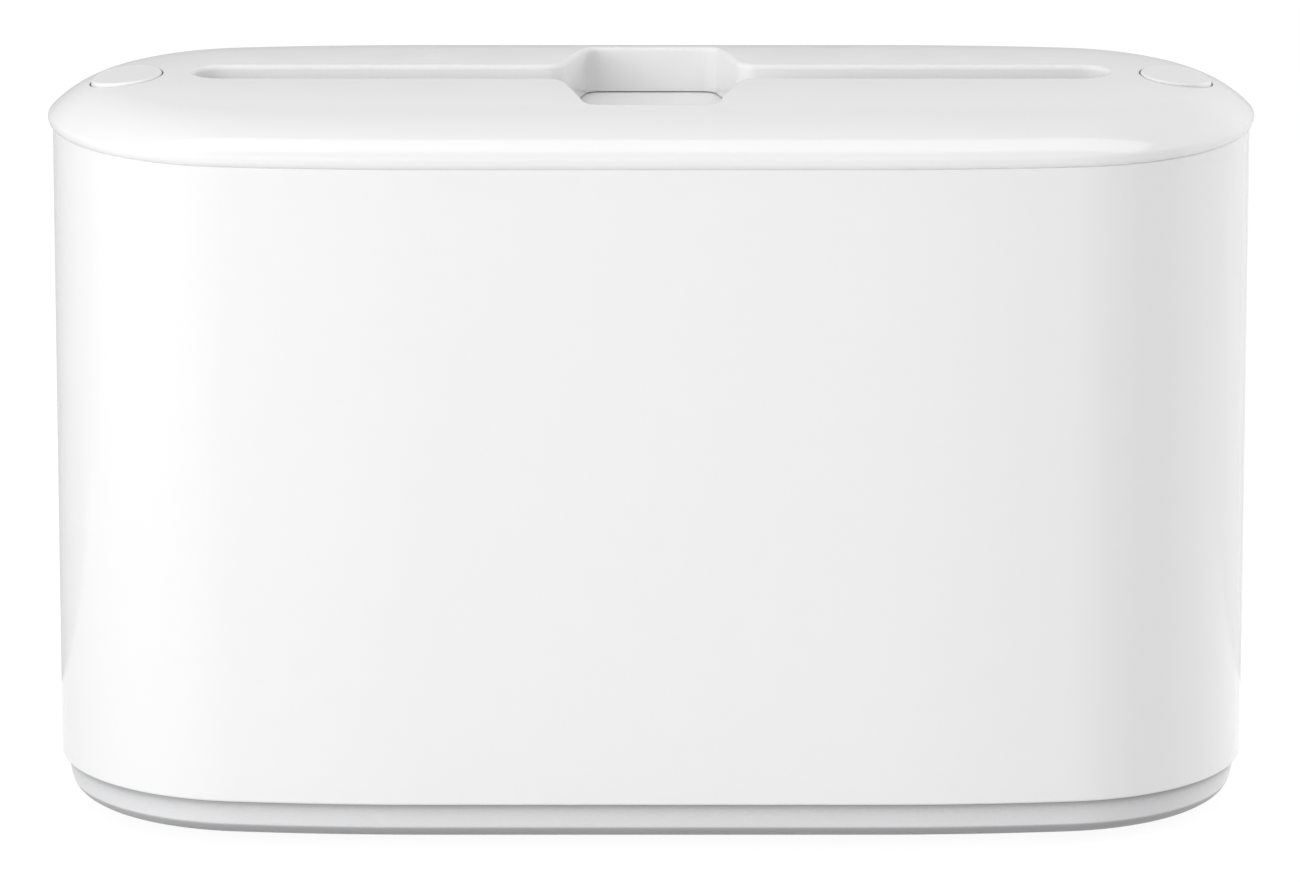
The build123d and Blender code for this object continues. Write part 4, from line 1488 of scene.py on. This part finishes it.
@dataclass
class Lift:
    """Lift platform: a flat tray top with a rim and ribs below, and bosses for the carriers' screws."""

    paint: Paintbox
    half_size: Flat = (123.0, 41.0)
    corner: float = 8.0
    plate: float = 2.4
    rib_depth: float = 5.0
    rib_wall: float = 1.8
    rib_y: float = 23.5
    rib_pitch: float = 40.0
    rib_gap: float = 0.4
    edge: float = 0.5
    rim_width: float = 1.5
    sink: float = 0.2
    boss_radius: float = 3.4
    boss_depth: float = 4.0
    screw_head: float = 2.4

    def build(self) -> None:
        """Makes the platform and dresses the screws that hold its carriers."""
        skin = Skin()
        top = box_mm("lift_platform")[1].z
        under = top - self.plate
        x, y = self.half_size
        outline = rounded([(x * i, y * j, self.corner) for i, j in ((1, -1), (1, 1), (-1, 1), (-1, -1))])
        foot = under - self.rib_depth
        profile = section(
            [
                (-self.rib_wall, under, 0),
                (-self.rib_wall, foot, 0.2),
                (0, foot, 0.3),
                (0, top, self.edge),
                (-self.rim_width, top, 0),
            ]
        )
        rows = skin.loft(outline, profile)
        skin.patch(rows[0])
        skin.patch(rows[-1])
        half, head = self.rib_wall / 2, under + self.sink
        reach_x, reach_y = x - self.rib_gap, y - self.rib_gap
        for way in (-1, 1):
            skin.block((-reach_x, way * self.rib_y - half, foot), (reach_x, way * self.rib_y + half, head))
        for middle in (-self.rib_pitch, 0, self.rib_pitch):
            skin.block((middle - half, -reach_y, foot), (middle + half, reach_y, head))
        screws = box_mm("carrier_screws")[1]
        at_x, at_y = screws.x - self.screw_head, screws.y - self.screw_head * sin(pi / 3)
        for i, j in QUADRANTS:
            skin.pin(i * at_x, j * at_y, self.boss_radius, under - self.boss_depth, head)
        self.paint.place(skin, "platform_tray", "platform", "lift_platform", Finish.PLATFORM_WHITE)
        self.paint.dress_nodes("carrier_screws")


@dataclass
class RibbonDrive:
    """Ribbon spring at one end: the free strip, the wound coil on its spool, the carrier and the rail."""

    paint: Paintbox
    side: Side
    rows: int = 10
    corner: float = 0.1
    step: float = 9.0

    def build(self) -> None:
        """Makes the free strip and dresses the rest."""
        label = self.side.label
        low, high = box_mm(f"ribbon_strip_{label}")
        skin = Skin()
        outline = rectangle(low, high, self.corner, self.step)
        levels = [skin.level(outline, 0, z) for z in sweep(low.z, high.z, self.rows, closed=True)]
        skin.stack(levels)
        skin.faces += [tuple(levels[0]), tuple(levels[-1])]
        made = skin.build(f"free_ribbon_{label}")
        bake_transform(made)
        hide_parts(f"ribbon_strip_{label}")
        self.paint.dress(made, Finish.SPRING_STEEL)
        LOG.info("%s stretches between the rail and the platform", made.name)
        kept = ("ribbon_coil", "ribbon_spool", "spool_spindle", "platform_carrier", "guide_rail")
        self.paint.dress_nodes(*(f"{node}_{label}" for node in kept))


@dataclass
class Fasteners:
    """Screws that hold the housing, the rails, the ribbons and the brackets."""

    paint: Paintbox
    nodes: tuple[str, ...] = ("base_screws", "rail_screws", "ribbon_screws", "bracket_screws")

    def build(self) -> None:
        """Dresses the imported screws."""
        self.paint.dress_nodes(*self.nodes)


@dataclass(frozen=True)
class Softbox:
    """A softbox: its place, the point it faces, its width and height in metres, and its power in watts."""

    name: str
    at: Point
    aim: Point
    size: Flat
    power: float
    mirrored: bool = False

    def build(self) -> None:
        """Makes the lamp, which the camera doesn't see."""
        data = bpy.data.lights.new(self.name, "AREA")
        data.shape, data.size, data.size_y, data.energy = "RECTANGLE", *self.size, self.power
        made = linked(self.name, data)
        made.location = self.at
        made.rotation_euler = (Vector(self.aim) - Vector(self.at)).to_track_quat("-Z", "Y").to_euler()
        made.visible_camera = False
        made.visible_glossy = self.mirrored


@dataclass
class Studio:
    """Camera, pale floor and soft studio light."""

    camera_at: Point = (-0.00032, -2.5567, 0.7647)
    camera_tilt: float = 75.4
    lens: float = 271.6
    sensor: float = 36.0
    clip: Flat = (0.1, 100.0)
    softboxes: tuple[Softbox, ...] = (
        Softbox("overhead", (0.0, -0.064, 1.2), (0.0, -0.064, 0.2), (1.5, 0.3), 2.65, mirrored=True),
        Softbox("key", (-0.93, -1.25, 0.5), (0.0, 0.0, 0.1), (1.5, 0.8), 16.3),
        Softbox("fill", (1.13, 0.4, 0.27), (0.1, 0.0, 0.1), (0.5, 0.5), 6.8),
    )
    flag_far: float = 1.0
    flag_near: float = 0.1
    rear_flag: Flat = (2.0, 0.8)
    rear_grey: float = 0.58
    floor_flag: Flat = (1.2, 0.002)
    floor_greys: Flat = (0.6, 0.72)
    card_span: Flat = (0.1, 0.65)
    floor_size: float = 12.0
    floor_colour: float = 0.7
    floor_cloud: float = 0.01
    lit_share: float = 0.8
    lit_strength: float = 1.16
    room: float = 0.48

    def camera(self) -> None:
        """Makes the camera at the photograph's place."""
        data = bpy.data.cameras.new("camera")
        data.lens, data.sensor_width = self.lens, self.sensor
        data.clip_start, data.clip_end = self.clip
        made = linked("camera", data)
        made.location = self.camera_at
        made.rotation_euler = (radians(self.camera_tilt), 0, 0)
        bpy.context.scene.camera = made

    def flags(self) -> None:
        """Adds the grey cards at the back that only reflections see, so that the outline stands out."""
        far, near = self.flag_far, self.flag_near
        x, z = self.rear_flag
        self.card("rear_flag", [(-x, far, 0.0), (x, far, 0.0), (x, far, z), (-x, far, z)], self.rear_grey)
        reach, z = self.floor_flag
        for side, grey in zip((-1, 1), self.floor_greys):
            x = side * reach
            self.card("floor_flag", [(0.0, near, z), (x, near, z), (x, far, z), (0.0, far, z)], grey)

    def card(self, name: str, spots: Sequence[Point], grey: float) -> None:
        """Adds one card.

        Args:
            name: Its name.
            spots: Its four corners.
            grey: How bright it looks at its foot. It pales towards its top.
        """
        mesh = bpy.data.meshes.new(name)
        mesh.from_pydata(spots, [], [(0, 1, 2, 3)])
        made = linked(name, mesh)
        made.visible_camera = made.visible_diffuse = made.visible_shadow = made.visible_transmission = False
        material, wires, shader = started(name)
        where = wires.place()
        height = wires.node("ShaderNodeSeparateXYZ", {"Vector": where}).outputs["Z"]
        level = wires.spread(height, *self.card_span, grey, 1.0)
        cloth = wires.spread(wires.noise(where, 30.0), 0.0, 1.0, 0.98, 1.0)
        glow = wires.shade((1, 1, 1, 1), wires.maths("MULTIPLY", level, cloth))
        values = {"Emission Color": glow, "Emission Strength": 1.0, "Base Color": (0, 0, 0, 1)}
        wires.feed(shader, values)
        mesh.materials.append(material)

    def world(self) -> None:
        """Makes the world: a plain soft room that is white where it is seen, directly or by reflection."""
        world = bpy.data.worlds.new("studio")
        bpy.context.scene.world = world
        world.use_nodes = True
        wires = Wiring(world.node_tree)
        strength = wires.spread(self.seen(wires), 0.0, 1.0, self.room, 1.0)
        back = world.node_tree.nodes["Background"]
        wires.feed(back, {"Color": (1, 1, 1, 1), "Strength": strength})

    def seen(self, wires: Wiring) -> bpy.types.NodeSocket:
        """Tells where a surface is seen directly, in a reflection or through something clear.

        Args:
            wires: The wiring of its material.

        Returns:
            The socket, 1 where it is so seen and 0 elsewhere.
        """
        path = wires.node("ShaderNodeLightPath").outputs
        either = wires.maths("MAXIMUM", path["Is Camera Ray"], path["Is Glossy Ray"])
        return wires.maths("MAXIMUM", either, path["Is Transmission Ray"])

    def floor(self) -> None:
        """Makes the floor, white where it is seen but for the soft shadow on it."""
        mesh = bpy.data.meshes.new("floor")
        shape = bmesh.new()
        bmesh.ops.create_grid(shape, x_segments=2, y_segments=2, size=self.floor_size / 2)
        shape.to_mesh(mesh)
        shape.free()
        made = linked("floor", mesh)
        material, wires, shader = started("pale_floor")
        dark, pale = self.floor_colour - self.floor_cloud, self.floor_colour + self.floor_cloud
        level = wires.spread(wires.noise(wires.place(), scale=6.0), 0.0, 1.0, dark, pale)
        base = wires.shade((1, 1, 1, 1), level)
        wires.feed(shader, {"Base Color": base, "Roughness": 0.9, "Specular IOR Level": 0.1})
        lit = wires.node("ShaderNodeEmission", {"Color": (1, 1, 1, 1), "Strength": self.lit_strength})
        share = wires.maths("MULTIPLY", self.seen(wires), self.lit_share)
        mix = wires.node("ShaderNodeMixShader", {"0": share, "1": shader.outputs[0], "2": lit.outputs[0]})
        wires.feed(material.node_tree.nodes["Material Output"], {"Surface": mix.outputs[0]})
        mesh.materials.append(material)

    def build(self) -> None:
        """Sets up the studio."""
        for softbox in self.softboxes:
            softbox.build()
        self.flags()
        self.world()
        self.floor()
        bpy.context.scene.view_settings.view_transform = "Standard"


def corners(box: tuple[Vector, Vector]) -> list[list[float]]:
    """A box as plain lists of numbers."""
    return [[round(value, 6) for value in corner] for corner in box]


def main() -> None:
    """Builds the dispenser in the studio."""
    logging.basicConfig(level=logging.INFO, format="%(name)s: %(message)s")
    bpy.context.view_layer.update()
    studio = Studio()
    studio.camera()
    sizes, paint = Frame.read(), Paintbox()
    Body(sizes, paint).build()
    Plinth(sizes, paint).build()
    Lid(sizes, paint).build()
    Lift(paint).build()
    for side in Side:
        ReleaseButton(sizes, paint, side).build()
        LatchSet(paint, side).build()
        RibbonDrive(paint, side).build()
    Fasteners(paint).build()
    studio.build()
    bpy.context.view_layer.update()


if __name__ == "__main__":
    main()
